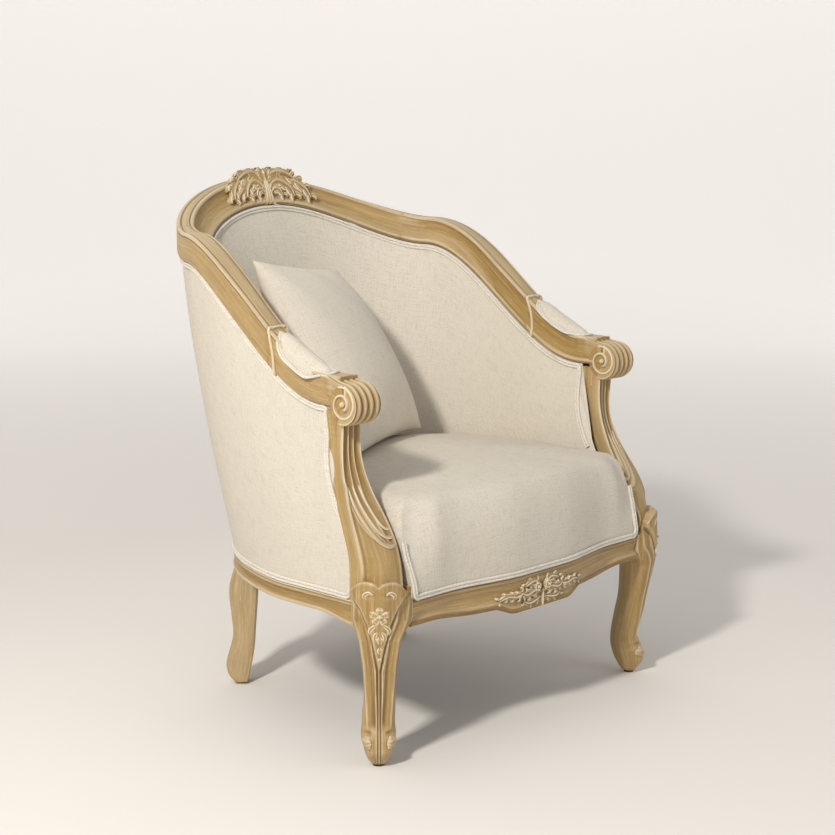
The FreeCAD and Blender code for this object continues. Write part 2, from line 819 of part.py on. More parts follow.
def make_cover(outward_at, near, far, bottom):
    """Cover round the whole tub between two offsets of its face."""
    return swept(lambda path: skin_section(path, outward_at, near, far, bottom), wall_paths())


def make_inside_cover():
    """Inside back and arm cover."""
    cover = make_cover(inside_outward, 0, size.cover_thickness, PADDING_BOTTOM)
    return cover.cut(post_zone(False, 1))


def make_inside_padding():
    """Foam of the inside back and arms."""
    padding = swept(padding_section, wall_paths())
    return padding.cut(post_zone(False, 3)).cut(post_zone(True, 3))


def make_outside_cover():
    """Outside back and arm cover, in one piece from post to post."""
    cover = make_cover(outside_outward, -size.cover_thickness, 0, OUTSIDE_BOTTOM)
    return cover.cut(post_zone(True, 1))


def on_face(path, height, outward_at, side, bottom, rise):
    """Point on a cover's face, or a welt's height above it where rise is 1."""
    top = inside_top(path)
    share = (top - height) / (top - bottom)
    outward = outward_at(path, share) + side * (size.clearance + rise * size.welt_height)
    return at(path, outward, height)


def level_welt(outward_at, side, bottom, low_at, end):
    """Welt along a cover's edge, its lower side at the height that a function gives."""
    paths = stations(-end, end)
    sections = []
    for path in paths:
        low = low_at(path)
        high = low + size.welt_width
        sections.append(straight_sides([
            on_face(path, height, outward_at, side, bottom, rise)
            for height, rise in ((high, 0), (low, 0), (low, 1), (high, 1))]))
    return sweep(sections, paths)


def post_welt(outward_at, side, bottom, outside, low):
    """Welt that runs down a cover's front edge, along the arm post, to a height."""
    high = inside_top(path_at_y(size.scroll_y + size.post_seat)) - size.welt_width - 4
    sections = []
    heights = spread(low, high, 15)
    for height in heights:
        front = post_back(height, outside) + 2
        sections.append(straight_sides([
            on_face(path_at_y(front + along), height, outward_at, side, bottom, rise)
            for along, rise in ((0, 0), (size.welt_width, 0), (size.welt_width, 1), (0, 1))]))
    return sweep(sections, heights)


def rail_welt(outward_at, side, bottom):
    """Welt on a cover's upper edge, under the rail from arm to arm."""
    end = path_at_y(size.scroll_y + size.post_seat + 3)
    return level_welt(outward_at, side, bottom, lambda path: inside_top(path) - 1 - size.welt_width, end)


def make_inside_welt():
    """Double welt of the inside cover: under the rail and down both posts to the seat."""
    run = post_welt(inside_outward, -1, PADDING_BOTTOM, False, size.seat_edge + 4)
    return Part.makeCompound([rail_welt(inside_outward, -1, PADDING_BOTTOM), run, mirrored(run)])


def make_outside_welt():
    """Double welt of the outside cover: under the rail, above the seat rails and down both posts."""
    low = OUTSIDE_BOTTOM + 1
    end = path_at_y(post_back(low, True) + 3)
    lower = level_welt(outside_outward, 1, OUTSIDE_BOTTOM, lambda path: low, end)
    run = post_welt(outside_outward, 1, OUTSIDE_BOTTOM, True, low + size.welt_width + 1)
    return Part.makeCompound([rail_welt(outside_outward, 1, OUTSIDE_BOTTOM), lower, run, mirrored(run)])


def inner_limit(path):
    """Innermost reach of the inside cover between the deck and the seat's edge."""
    top = inside_top(path)
    shares = [(top - height) / (top - PADDING_BOTTOM)
              for height in spread(PADDING_BOTTOM, size.seat_edge + 12, 6)]
    return min(inside_outward(path, share) for share in shares)


SEAT_MIDDLE = -90


def seat_section(height, inset, push, scale):
    """Outline of the seat at a height, drawn in and scaled about the seat's middle."""
    end = path_at_y(size.knee_inner_y - 12)

    def place(x, y):
        return Vector(x * scale, SEAT_MIDDLE + (y - SEAT_MIDDLE) * scale, height)

    wall = []
    for path in stations(-end, end):
        point = at(path, inner_limit(path) - size.seat_gap - inset, height)
        wall.append(place(point.x, point.y))
    half = size.seat_half_front - inset
    offset = size.rebate - size.clearance - size.cover_thickness + inset - push
    front = [place(x, apron_face(x) + offset) for x in spread(half, -half, 25)]
    shoulder = place(half, -size.apron_side + 35)
    far_shoulder = place(-half, -size.apron_side + 35)
    return [
        wall,
        [wall[-1], shoulder],
        [shoulder, front[0]],
        front,
        [front[-1], far_shoulder],
        [far_shoulder, wall[0]],
    ]


# Seat levels: part of the height up to the edge, or above it, forward push, scale
SEAT_SIDE = ((0, 0, 1), (0.35, 2.5, 1), (0.7, 2, 0.998), (0.88, 1, 0.993), (1, 0, 0.98))
SEAT_DOME = ((0.2, 0.955), (0.4, 0.91), (0.6, 0.83), (0.78, 0.7), (0.91, 0.52), (0.98, 0.3), (1, 0.08))


def seat_solid(inset, bottom, lower):
    """Domed seat, drawn in by inset and lowered at its crown."""
    edge = size.seat_edge - lower
    levels = [(bottom + part * (edge - bottom), push, scale) for part, push, scale in SEAT_SIDE]
    for part, scale in SEAT_DOME:
        levels.append((edge + part * (size.seat_crown - size.seat_edge), 0, scale))
    along = [0.0]
    for (z1, _, scale1), (z2, _, scale2) in zip(levels, levels[1:]):
        along.append(along[-1] + math.hypot(z2 - z1, size.seat_half_front * (scale2 - scale1)))
    return sweep([seat_section(height, inset, push, scale) for height, push, scale in levels], along)


def make_seat_foam():
    """Foam of the seat."""
    gap = size.cover_thickness + 3 * size.clearance
    return seat_solid(gap, SEAT_BOTTOM, gap)


def make_seat_cover():
    """Seat cover with the skirt that is fixed in the front rail's rebate."""
    gap = size.cover_thickness
    shell = seat_solid(0, SEAT_BOTTOM, 0).cut(seat_solid(gap, SEAT_BOTTOM - 0.01, gap))

    def skirt(x):
        inner = apron_face(x) + size.rebate - 2 * size.clearance
        outer = inner - size.cover_thickness
        return [
            Vector(x, outer, OUTSIDE_BOTTOM),
            Vector(x, outer, SEAT_BOTTOM + 3),
            Vector(x, inner, SEAT_BOTTOM + 3),
            Vector(x, inner, OUTSIDE_BOTTOM),
        ]

    return shell.fuse(apron_sweep(size.seat_half_front, skirt))


def make_seat_welt():
    """Double welt of the seat: along the front rail and up beside each post."""
    half = size.seat_half_front
    low = OUTSIDE_BOTTOM + 1

    def section(x):
        near = apron_face(x) + size.rebate - 3 * size.clearance - size.cover_thickness
        far = near - size.welt_height
        return [Vector(x, near, low), Vector(x, near, low + size.welt_width),
                Vector(x, far, low + size.welt_width), Vector(x, far, low)]

    near = apron_face(half) + size.rebate - size.cover_thickness - SEAT_SIDE[1][1] - 2 * size.clearance
    rise = box(half - size.welt_width, half, near - size.welt_height, near,
               low + size.welt_width + size.clearance, low + 78)
    return Part.makeCompound([apron_sweep(half, section), rise, mirrored(rise)])


def deck_outline(inset, height, front):
    """Closed outline on the seat rails' tops, from behind the front rail round the back."""
    end = path_at_y(size.knee_inner_y + 3)
    wall = [at(path, -lean(path) - inset, height) for path in stations(-end, end)]
    half = size.knee_inner_x - 4
    right, left = Vector(half, front, height), Vector(-half, front, height)
    back_right = Vector(half, wall[-1].y, height)
    back_left = Vector(-half, wall[-1].y, height)
    return Part.Wire([
        curve(wall),
        Part.makeLine(wall[-1], back_right),
        Part.makeLine(back_right, right),
        Part.makeLine(right, left),
        Part.makeLine(left, back_left),
        Part.makeLine(back_left, wall[0]),
    ])


def deck_prism(inset, low, high, front):
    """Plate inside the deck outline."""
    return Part.Face(deck_outline(inset, low, front)).extrude(Vector(0, 0, high - low))


def make_webbing():
    """Webbing straps, five each way, the cross straps over the long ones."""
    pitch = size.strap_width + size.strap_gap
    limit = -size.apron_side + 0.6 * size.seat_rail_thickness
    inset = size.rebate + size.stile_thickness + STILE_ROOM
    low = size.seat_rail_top
    middle = low + size.strap_thickness
    high = middle + size.strap_thickness
    lower = deck_prism(inset, low, middle, limit)
    upper = deck_prism(inset, middle, high, limit)
    straps = []
    for index in range(-2, 3):
        x = index * pitch
        y = -86 + index * pitch
        long_strap = box(x - size.strap_width / 2, x + size.strap_width / 2, -400, 400, low, middle)
        cross_strap = box(-400, 400, y - size.strap_width / 2, y + size.strap_width / 2, middle, high)
        straps.append(lower.common(long_strap))
        straps.append(upper.common(cross_strap))
    return Part.makeCompound([solid for strap in straps for solid in strap.Solids])


def make_deck():
    """Deck cloth over the webbing."""
    low = size.seat_rail_top + 2 * size.strap_thickness
    inset = size.rebate + size.stile_thickness + STILE_ROOM
    return deck_prism(inset, low, low + size.deck_thickness, -size.apron_side + 12)


def make_dust_cover():
    """Dust cover under the seat frame, cut round the legs."""
    high = size.seat_rail_bottom - 0.2
    front = -size.apron_side + size.seat_rail_thickness + 1
    plate = deck_prism(14, high - size.deck_thickness, high, front)
    cutters = []
    for side in (-1, 1):
        x = side * (size.rear_foot_x - 11)
        cutters.append(Part.makeCylinder(34, 20, Vector(x, size.rear_foot_y - 11, high - 10)))
        near, far = sorted((side * (size.knee_inner_x - 2), side * 400))
        cutters.append(box(near, far, -400, size.knee_inner_y + 1, high - 10, high + 10))
    return plate.cut(cutters)


def pad_wire(scale, height):
    """Oval section of an arm pad in its own plane."""
    points = []
    for step in range(8):
        angle = math.pi * step / 4
        fullness = 1.0 if step % 2 == 0 else 1.12
        points.append(Vector(
            0.5 * size.pad_width * scale * fullness * math.sin(angle),
            0.5 * size.pad_length * (1 + (scale - 1) * size.pad_width / size.pad_length)
            * fullness * math.cos(angle),
            height))
    return rounded_wire(points)


def on_arm(shape):
    """Move a shape from the pad's own plane to the top of the right arm, and trim it to the arm."""
    path = 0.5 * (path_at_y(size.arm_step_y - 6) + path_at_y(size.tab_y))
    half = 0.5 * size.pad_length
    rise = top_height(path - half) - top_height(path + half)
    tilt = math.degrees(math.atan2(rise, 2 * half))
    middle = 0.5 * (top_height(path - half) + top_height(path + half))
    place = at(path, -0.5 * rail_reach(path), middle)
    shape.Placement = Placement(place, Rotation(Vector(1, 0, 0), tilt))
    bed = swept(lambda step: rail_section(step, size.clearance), stations(path - 90, path + 90))
    return shape.cut(bed)


def make_arm_pad():
    """Domed arm pad."""
    wires = [pad_wire(scale, height * size.pad_height) for scale, height in
             ((0.98, -0.5), (1, 0), (1, 0.25), (0.9, 0.62), (0.68, 0.87), (0.36, 1))]
    return on_arm(loft(wires))


def make_pad_welt():
    """Welt round an arm pad."""
    outer = loft([pad_wire(1.28, -6), pad_wire(1.28, 4)])
    inner = loft([pad_wire(1.03, -7), pad_wire(1.03, 6)])
    return on_arm(outer.cut(inner))


def pillow_wire(scale, offset, draw):
    """Outline of the pillow at one level: four corners with drawn-in or bulged sides."""
    half = 0.5 * size.pillow_size * scale
    side = half * (1 - draw)
    points = []
    for x, z in ((half, half), (0, side), (-half, half), (-side, 0),
                 (-half, -half), (0, -side), (half, -half), (side, 0)):
        points.append(Vector(x, offset, z))
    edges = [Part.Arc(points[start], points[start + 1], points[(start + 2) % 8]).toShape()
             for start in range(0, 8, 2)]
    return Part.Wire(edges)


# Pillow levels from the seam to the crown: part of half the thickness, scale, draw-in of the sides
PILLOW_LEVELS = ((1, 0.1, -0.2), (0.95, 0.3, -0.16), (0.82, 0.5, -0.1), (0.6, 0.7, -0.05),
                 (0.36, 0.86, 0.01), (0.19, 0.95, 0.05))


def make_throw_pillow():
    """Knife-edge pillow with crowned faces and drawn-in sides, leaning in the corner."""
    levels = [(-part * size.pillow_thickness / 2, scale, draw) for part, scale, draw in PILLOW_LEVELS]
    levels += [(-size.pillow_edge / 2, 1, 0.07), (size.pillow_edge / 2, 1, 0.07)]
    levels += [(-offset, scale, draw) for offset, scale, draw in reversed(levels[:-2])]
    pillow = loft([pillow_wire(scale, offset, draw) for offset, scale, draw in levels])
    turn = Rotation(Vector(0, 0, 1), size.pillow_turn)
    tilt = Rotation(Vector(1, 0, 0), -size.pillow_lean)
    pillow.Placement = Placement(Vector(size.pillow_x, size.pillow_y, size.pillow_z), turn * tilt)
    return pillow


# Sub-parts of the document

SHIFT = Vector(0, size.frame_shift, 0)
sub_parts = []


def add_shape(label, shape):
    """Sub-part whose curved shape is worked out above from the sheet."""
    feature = doc.addObject("Part::Feature", label)
    feature.Label = label
    feature.Shape = shape
    feature.Placement = Placement(SHIFT, Rotation()).multiply(feature.Placement)
    sub_parts.append(feature)
    return feature


def add_pair(name, shape):
    """Right-hand sub-part and its mirror image on the left."""
    right = add_shape("right_" + name, shape)
    left = doc.addObject("Part::Mirroring", "left_" + name)
    left.Label = "left_" + name
    left.Source = right
    left.Base = Vector(0, 0, 0)
    left.Normal = Vector(1, 0, 0)
    sub_parts.append(left)


def add_glides():
    """Four round foot glides, one node."""
    glides = []
    places = (
        ("right_front", "front_foot_x", "front_foot_y"),
        ("left_front", "-front_foot_x", "front_foot_y"),
        ("right_rear", "rear_foot_x", "rear_foot_y"),
        ("left_rear", "-rear_foot_x", "rear_foot_y"),
    )
    for name, x, y in places:
        glide = doc.addObject("Part::Cylinder", name + "_glide")
        glide.setExpression("Radius", "dimensions.glide_radius")
        glide.setExpression("Height", "dimensions.glide_height")
        sign = "-" if x.startswith("-") else ""
        glide.setExpression("Placement.Base.x", f"{sign}dimensions.{x.lstrip('-')}")
        glide.setExpression("Placement.Base.y", f"dimensions.{y} + dimensions.frame_shift")
        glides.append(glide)
    group = doc.addObject("Part::Compound", "foot_glides")
    group.Label = "foot_glides"
    group.Links = glides
    sub_parts.append(group)


# Outline of a front corner block, from the rails' inner faces round the knee's chamfer
BLOCK_CORNERS = (
    ("inner_edge - dimensions.block_reach", "rear_edge"),
    ("knee_side", "rear_edge"),
    ("knee_side", "dimensions.knee_inner_y - dimensions.knee_chamfer + dimensions.dowel_play"),
    ("dimensions.knee_inner_x + dimensions.knee_chamfer - dimensions.dowel_play", "knee_back"),
    ("inner_edge", "knee_back"),
    ("inner_edge", "rear_edge + dimensions.block_reach"),
)
BLOCK_EDGES = {
    "inner_edge": "(dimensions.arm_half_width + dimensions.side_flare"
                  " - dimensions.seat_rail_thickness - dimensions.dowel_play)",
    "rear_edge": "(dimensions.seat_rail_thickness + dimensions.dowel_play - dimensions.apron_side)",
    "knee_side": "(dimensions.knee_inner_x - dimensions.clearance)",
    "knee_back": "(dimensions.knee_inner_y + dimensions.clearance)",
}


def add_front_block():
    """Body of the right front corner block: a sketched outline and a pad."""
    body = doc.addObject("PartDesign::Body", "front_block_body")
    sketch = body.newObject("Sketcher::SketchObject", "front_block_sketch")
    plane = next(item for item in body.Origin.OriginFeatures if item.Role == "XY_Plane")
    sketch.AttachmentSupport = [(plane, "")]
    sketch.MapMode = "FlatFace"
    expressions = []
    for corner in BLOCK_CORNERS:
        rules = []
        for rule in corner:
            for name, meaning in BLOCK_EDGES.items():
                rule = rule.replace(name, meaning)
            rules.append(rule)
        expressions.append(rules)
    start = [(220, -304), (287, -304), (287, -290), (301, -276), (312, -276), (312, -242)]
    for index, (x, y) in enumerate(start):
        next_x, next_y = start[(index + 1) % len(start)]
        sketch.addGeometry(Part.LineSegment(Vector(x, y, 0), Vector(next_x, next_y, 0)))
    for index in range(len(start)):
        following = (index + 1) % len(start)
        sketch.addConstraint(Sketcher.Constraint("Coincident", index, 2, following, 1))
    for index, ((x, y), (x_rule, y_rule)) in enumerate(zip(start, expressions)):
        across = sketch.addConstraint(Sketcher.Constraint("DistanceX", -1, 1, index, 1, x))
        sketch.renameConstraint(across, f"x{index}")
        sketch.setExpression(f"Constraints.x{index}", x_rule)
        along = sketch.addConstraint(Sketcher.Constraint("DistanceY", -1, 1, index, 1, y))
        sketch.renameConstraint(along, f"y{index}")
        sketch.setExpression(f"Constraints.y{index}", y_rule)
    pad = body.newObject("PartDesign::Pad", "front_block_pad")
    pad.Profile = sketch
    pad.setExpression("Length", "dimensions.block_height")
    body.setExpression(
        "Placement.Base.z",
        "(dimensions.seat_rail_bottom + dimensions.seat_rail_top - dimensions.block_height) / 2")
    doc.recompute()
    return body


def add_corner_blocks():
    """Four corner blocks with their screw holes, one node."""
    front = add_front_block()
    holes = doc.addObject("Part::Feature", "corner_screw_holes")
    holes.Shape = Part.makeCompound(SCREW_HOLES)
    drilled = doc.addObject("Part::Cut", "front_block")
    drilled.Base = front
    drilled.Tool = holes
    rear = doc.addObject("Part::Feature", "rear_block")
    rear.Shape = make_rear_block()
    right = doc.addObject("Part::Compound", "right_blocks")
    right.Links = [drilled, rear]
    left = doc.addObject("Part::Mirroring", "left_blocks")
    left.Source = right
    left.Normal = Vector(1, 0, 0)
    group = doc.addObject("Part::Compound", "corner_blocks")
    group.Label = "corner_blocks"
    group.Links = [right, left]
    group.setExpression("Placement.Base.y", "dimensions.frame_shift")
    sub_parts.append(group)


add_shape("crest_rail", make_crest_rail())
add_pair("shoulder_rail", make_shoulder_rail())
add_pair("arm", make_arm())
add_pair("arm_post", make_arm_post())
add_pair("front_leg", make_front_leg())
add_pair("rear_leg", make_rear_leg())
add_pair("side_rail", make_side_rail())
add_shape("back_rail", make_back_rail())
add_shape("front_rail", make_front_rail())
add_pair("back_stile", make_stile())
add_glides()
add_corner_blocks()
add_shape("corner_screws", make_screws())
add_shape("frame_dowels", make_dowels())
add_shape("seat_webbing", make_webbing())
add_shape("deck_cloth", make_deck())
add_shape("seat_foam", make_seat_foam())
add_shape("seat_cover", make_seat_cover())
add_shape("seat_welt", make_seat_welt())
add_shape("inside_padding", make_inside_padding())
add_shape("inside_cover", make_inside_cover())
add_shape("inside_welt", make_inside_welt())
add_shape("outside_cover", make_outside_cover())
add_shape("outside_welt", make_outside_welt())
add_pair("arm_pad", make_arm_pad())
add_pair("pad_welt", make_pad_welt())
add_shape("dust_cover", make_dust_cover())
add_shape("throw_pillow", make_throw_pillow())
doc.recompute()

for item in doc.Objects:
    if "Invalid" in item.State or "Error" in item.State:
        raise RuntimeError(f"{item.Name} failed: {item.State}")
for item in sub_parts:
    if item.Shape.isNull() or not item.Shape.isValid():
        raise RuntimeError(f"{item.Label} has no valid shape")

os.makedirs("parts", exist_ok=True)
for item in sub_parts:
    item.Shape.exportStep(f"parts/{item.Label}.step")
    print(item.Label, len(item.Shape.Solids), round(item.Shape.Volume))
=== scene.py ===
"""Bergere chair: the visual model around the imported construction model."""
import logging
import math
from dataclasses import dataclass, field
from enum import Enum
from typing import Callable, Sequence

import bpy
import bmesh
import numpy as np
from mathutils import Matrix, Vector


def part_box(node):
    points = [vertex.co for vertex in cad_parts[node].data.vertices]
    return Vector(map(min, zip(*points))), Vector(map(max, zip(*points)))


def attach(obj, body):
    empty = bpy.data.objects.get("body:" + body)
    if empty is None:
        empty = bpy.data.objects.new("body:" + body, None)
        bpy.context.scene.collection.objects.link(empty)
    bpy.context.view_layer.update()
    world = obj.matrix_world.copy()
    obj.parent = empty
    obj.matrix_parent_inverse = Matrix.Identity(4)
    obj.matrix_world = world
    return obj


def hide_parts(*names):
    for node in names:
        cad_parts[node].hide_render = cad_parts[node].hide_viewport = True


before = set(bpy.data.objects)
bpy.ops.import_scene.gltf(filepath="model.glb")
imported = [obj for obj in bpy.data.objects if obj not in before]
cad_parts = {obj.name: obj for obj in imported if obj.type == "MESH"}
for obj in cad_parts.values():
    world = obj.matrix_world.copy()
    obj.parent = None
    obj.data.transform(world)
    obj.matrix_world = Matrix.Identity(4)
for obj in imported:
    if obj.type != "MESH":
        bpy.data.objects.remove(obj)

log = logging.getLogger("bergere")
MM = 0.001
# how far the front rail's bow lies in front of zero on the gauge used for the photograph, mm
APRON_BOW = 360.0
# from that gauge's zero to the construction model's, mm
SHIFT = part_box("front_rail")[0].y / MM + APRON_BOW
# heights that several wooden parts share, mm
RAIL_FOOT, RAIL_FACE_TOP, RAIL_TOP, POST_FOOT = 232.0, 262.0, 285.0, 291.0
DIAGONAL = math.sqrt(0.5)
# bend of a surface, per metre, at which an arris is all painted highlight and a hollow all painted
# shade
HIGHLIGHT_BEND, SHADE_BEND = 130.0, 90.0

Tree = bpy.types.NodeTree
Socket = bpy.types.NodeSocket


class Body(str, Enum):
    """The bodies of the construction model."""
    CHAIR = "chair"
    PILLOW = "pillow"


class Slot(str, Enum):
    """The record's material slots."""
    OAK = "limed_oak"
    BEECH = "frame_beech"
    LINEN = "linen"
    WELT = "linen_welt"
    PILLOW = "pillow_linen"
    WEBBING = "jute_webbing"
    DECK = "deck_cotton"
    DUST = "dust_cambric"
    STEEL = "zinc_steel"
    GLIDE = "glide_nylon"


# Shader helpers

def linear(hex_colour: str) -> tuple[float, float, float, float]:
    """Linear colour of a hex sRGB one."""
    parts = [int(hex_colour[i:i + 2], 16) / 255 for i in (1, 3, 5)]
    return (*[c / 12.92 if c <= 0.04045 else ((c + 0.055) / 1.055) ** 2.4 for c in parts], 1.0)


def add_node(tree: Tree, kind: str, inputs: dict | None = None, **settings) -> bpy.types.Node:
    """Add a node with its settings and inputs.

    Args:
        tree: node tree.
        kind: node type's name.
        inputs: socket key to a value or to another node's output.
        **settings: the node's own properties.
    Returns:
        The node.
    """
    node = tree.nodes.new(kind)
    for key, value in settings.items():
        setattr(node, key, value)
    for key, value in (inputs or {}).items():
        if isinstance(value, bpy.types.NodeSocket):
            tree.links.new(value, node.inputs[key])
        else:
            node.inputs[key].default_value = value
    return node


@dataclass(frozen=True)
class Finish:
    """A finish of one material slot; plain unless a subclass adds to it."""
    name: str
    slot: Slot
    colour: str
    roughness: float = 0.6
    metallic: float = 0.0

    def tree(self) -> tuple[bpy.types.Material, Tree]:
        """New material with an empty tree.

        Returns:
            The material and its tree.
        """
        material = bpy.data.materials.new(self.name)
        material.use_nodes = True
        material.node_tree.nodes.clear()
        return material, material.node_tree

    def noise(self, tree: Tree, coords: Socket, scale: Sequence[float], detail: float = 4.0,
              distortion: float = 0.0) -> Socket:
        """Noise stretched by a scale in each direction.

        Args:
            tree: material's tree.
            coords: texture places.
            scale: waves per metre in each direction.
            detail: octaves.
            distortion: how far the pattern is bent.
        Returns:
            The noise, 0 to 1.
        """
        mapping = add_node(tree, "ShaderNodeMapping", {"Vector": coords, "Scale": tuple(scale)})
        return add_node(tree, "ShaderNodeTexNoise", {
            "Vector": mapping.outputs["Vector"], "Scale": 1.0, "Detail": detail,
            "Roughness": 0.6, "Distortion": distortion}).outputs["Fac"]

    def ramp(self, tree: Tree, factor: Socket, stops: Sequence[tuple[float, str]]) -> Socket:
        """Colour ramp with the stops given as places and hex colours.

        Args:
            tree: material's tree.
            factor: place on the ramp.
            stops: places and hex colours.
        Returns:
            The colour.
        """
        node = add_node(tree, "ShaderNodeValToRGB", {"Fac": factor})
        elements = node.color_ramp.elements
        while len(elements) < len(stops):
            elements.new(0.5)
        for element, (place, colour) in zip(elements, stops):
            element.position = place
            element.color = linear(colour)
        return node.outputs["Color"]

    def mix(self, tree: Tree, factor: Socket | float, first: Socket | tuple,
            second: Socket | tuple) -> Socket:
        """Mix of two colours."""
        return add_node(tree, "ShaderNodeMix", {0: factor, 6: first, 7: second},
                        data_type="RGBA").outputs[2]

    def maths(self, tree: Tree, operation: str, first: Socket | float,
              second: Socket | float = 0.0) -> Socket:
        """Result of a two-value operation, kept between 0 and 1."""
        return add_node(tree, "ShaderNodeMath", {0: first, 1: second}, operation=operation,
                        use_clamp=True).outputs[0]

    def build(self) -> bpy.types.Material:
        """Plain finish with a faint mottle.

        Returns:
            The material.
        """
        material, tree = self.tree()
        coords = add_node(tree, "ShaderNodeTexCoord").outputs["Object"]
        mottle = self.noise(tree, coords, (60, 60, 60))
        dark = tuple(0.8 * c for c in linear(self.colour)[:3]) + (1.0,)
        colour = self.mix(tree, mottle, dark, linear(self.colour))
        self.close(tree, colour, self.roughness, mottle, 0.1)
        return material

    def close(self, tree: Tree, colour: Socket, roughness: float, height: Socket, strength: float,
              distance: float = 0.0006) -> None:
        """Surface shader and output at the end of a tree.

        Args:
            tree: material's tree.
            colour: base colour.
            roughness: roughness.
            height: height of the fine relief.
            strength: strength of that relief.
            distance: depth of that relief, in metres.
        """
        bump = add_node(tree, "ShaderNodeBump", {"Height": height, "Strength": strength,
                                                 "Distance": distance})
        shader = add_node(tree, "ShaderNodeBsdfPrincipled", {
            "Base Color": colour, "Roughness": roughness, "Metallic": self.metallic,
            "Normal": bump.outputs["Normal"]})
        add_node(tree, "ShaderNodeOutputMaterial", {"Surface": shader.outputs["BSDF"]})


@dataclass(frozen=True)
class LimedOak(Finish):
    """Oak, limed and waxed: brown wood with pale wax in the pores; painted highlight in the wax
    colour on the arrises, painted sheen on faces that look up, and painted shade in the hollows.
    """
    wax_and_highlight: str = "#e9dfc6"
    top_sheen: str = "#cfc1a3"
    hollow: str = "#5e4221"
    rings: tuple[tuple[float, str], ...] = (
        (0.28, "#80622f"), (0.5, "#a5854b"), (0.72, "#bfa16a"))
    vessels: tuple[tuple[float, str], ...] = (
        (0.3, "#70552a"), (0.55, "#a98a50"), (0.75, "#d8c594"))

    def build(self) -> bpy.types.Material:
        """The finish as a material.

        Returns:
            The material.
        """
        material, tree = self.tree()
        coords = add_node(tree, "ShaderNodeUVMap", uv_map="run").outputs["UV"]
        # growth rings, 30 mm apart and drawn out along the grain, slightly wavy
        rings = self.noise(tree, coords, (2.4, 34, 1), 5.0, 0.6)
        # vessel lines, 4 mm apart here because the real 0.3 mm ones are finer than a pixel
        lines = self.noise(tree, coords, (9, 230, 1), 6.0, 0.2)
        # pores filled with liming wax: short pale flecks
        pores = self.noise(tree, coords, (55, 620, 1), 2.0)
        colour = self.ramp(tree, rings, self.rings)
        streak = self.ramp(tree, lines, self.vessels)
        colour = self.mix(tree, 0.42, colour, streak)
        flecks = self.maths(tree, "MULTIPLY", self.maths(tree, "SUBTRACT", pores, 0.58), 4.5)
        colour = self.mix(tree, self.maths(tree, "MULTIPLY", flecks, 0.42), colour,
                          linear(self.wax_and_highlight))
        hollow_shade = add_node(tree, "ShaderNodeAttribute", attribute_name="hollow_shade").outputs["Fac"]
        edge = add_node(tree, "ShaderNodeAttribute", attribute_name="wax_and_highlight").outputs["Fac"]
        # painted highlight: ridges and arrises are lightened to the pale wax colour, broken up
        # along the vessel lines
        ridge_highlight = self.maths(tree, "MULTIPLY", edge, self.maths(tree, "ADD", lines, 0.4))
        # painted sheen: faces that look up are lightened towards a pale grey-cream, as light from
        # above falls on them
        normal = add_node(tree, "ShaderNodeNewGeometry").outputs["Normal"]
        up = add_node(tree, "ShaderNodeSeparateXYZ", {0: normal}).outputs["Z"]
        top_sheen = self.maths(tree, "MULTIPLY", self.maths(tree, "SUBTRACT", up, 0.35), 0.62)
        top_sheen = self.maths(tree, "MULTIPLY", top_sheen, self.maths(tree, "ADD", rings, 0.3))
        colour = self.mix(tree, top_sheen, colour, linear(self.top_sheen))
        colour = self.mix(tree, self.maths(tree, "MULTIPLY", ridge_highlight, 0.85), colour,
                          linear(self.wax_and_highlight))
        # painted shade: hollows are darkened towards a dark brown
        colour = self.mix(tree, self.maths(tree, "MULTIPLY", hollow_shade, 0.72), colour,
                          linear(self.hollow))
        self.close(tree, colour, self.roughness, lines, 0.18, 0.0005)
        return material


@dataclass(frozen=True)
class Linen(Finish):
    """Plain-weave natural linen: heathered, with slubs along both threads."""
    slub_and_shade: str = "#a3957a"
    light: str = "#ece4d4"
    weave: float = 620.0

    def build(self) -> bpy.types.Material:
        """The finish as a material.

        Returns:
            The material.
        """
        material, tree = self.tree()
        coords = add_node(tree, "ShaderNodeUVMap", uv_map="run").outputs["UV"]
        # threads are 0.6 mm; the weave is drawn at 1.6 mm so that it holds at the picture's size
        warp = self.noise(tree, coords, (self.weave, 38, 1), 3.0)
        weft = self.noise(tree, coords, (30, self.weave, 1), 3.0)
        heather = self.noise(tree, coords, (70, 26, 1), 4.0)
        tone = self.noise(tree, coords, (7, 5, 1), 3.0)
        weave = self.maths(tree, "MULTIPLY", self.maths(tree, "ADD", warp, weft), 0.5)
        cloth = self.ramp(tree, weave,
                          ((0.36, self.slub_and_shade), (0.5, self.colour), (0.64, self.light)))
        cloth = self.mix(tree, 0.45, cloth, linear(self.colour))
        # heather: pale and dark fibres spun together, drawn as 2 mm specks
        speck = self.noise(tree, coords, (640, 520, 1), 2.0)
        specks = self.maths(tree, "MULTIPLY", self.maths(tree, "SUBTRACT", speck, 0.5), 3.6)
        cloth = self.mix(tree, specks, cloth, linear(self.slub_and_shade))
        slubs = self.maths(tree, "MULTIPLY", self.maths(tree, "SUBTRACT", heather, 0.57), 3.0)
        cloth = self.mix(tree, self.maths(tree, "MULTIPLY", slubs, 0.4), cloth, linear(self.slub_and_shade))
        cloth = self.mix(tree, self.maths(tree, "MULTIPLY", tone, 0.22), cloth, linear(self.light))
        # painted shade: the cover's hollows are darkened towards the slub colour
        hollow_shade = add_node(tree, "ShaderNodeAttribute", attribute_name="hollow_shade").outputs["Fac"]
        cloth = self.mix(tree, self.maths(tree, "MULTIPLY", hollow_shade, 0.35), cloth, linear(self.slub_and_shade))
        self.close(tree, cloth, self.roughness, weave, 0.35, 0.0007)
        return material


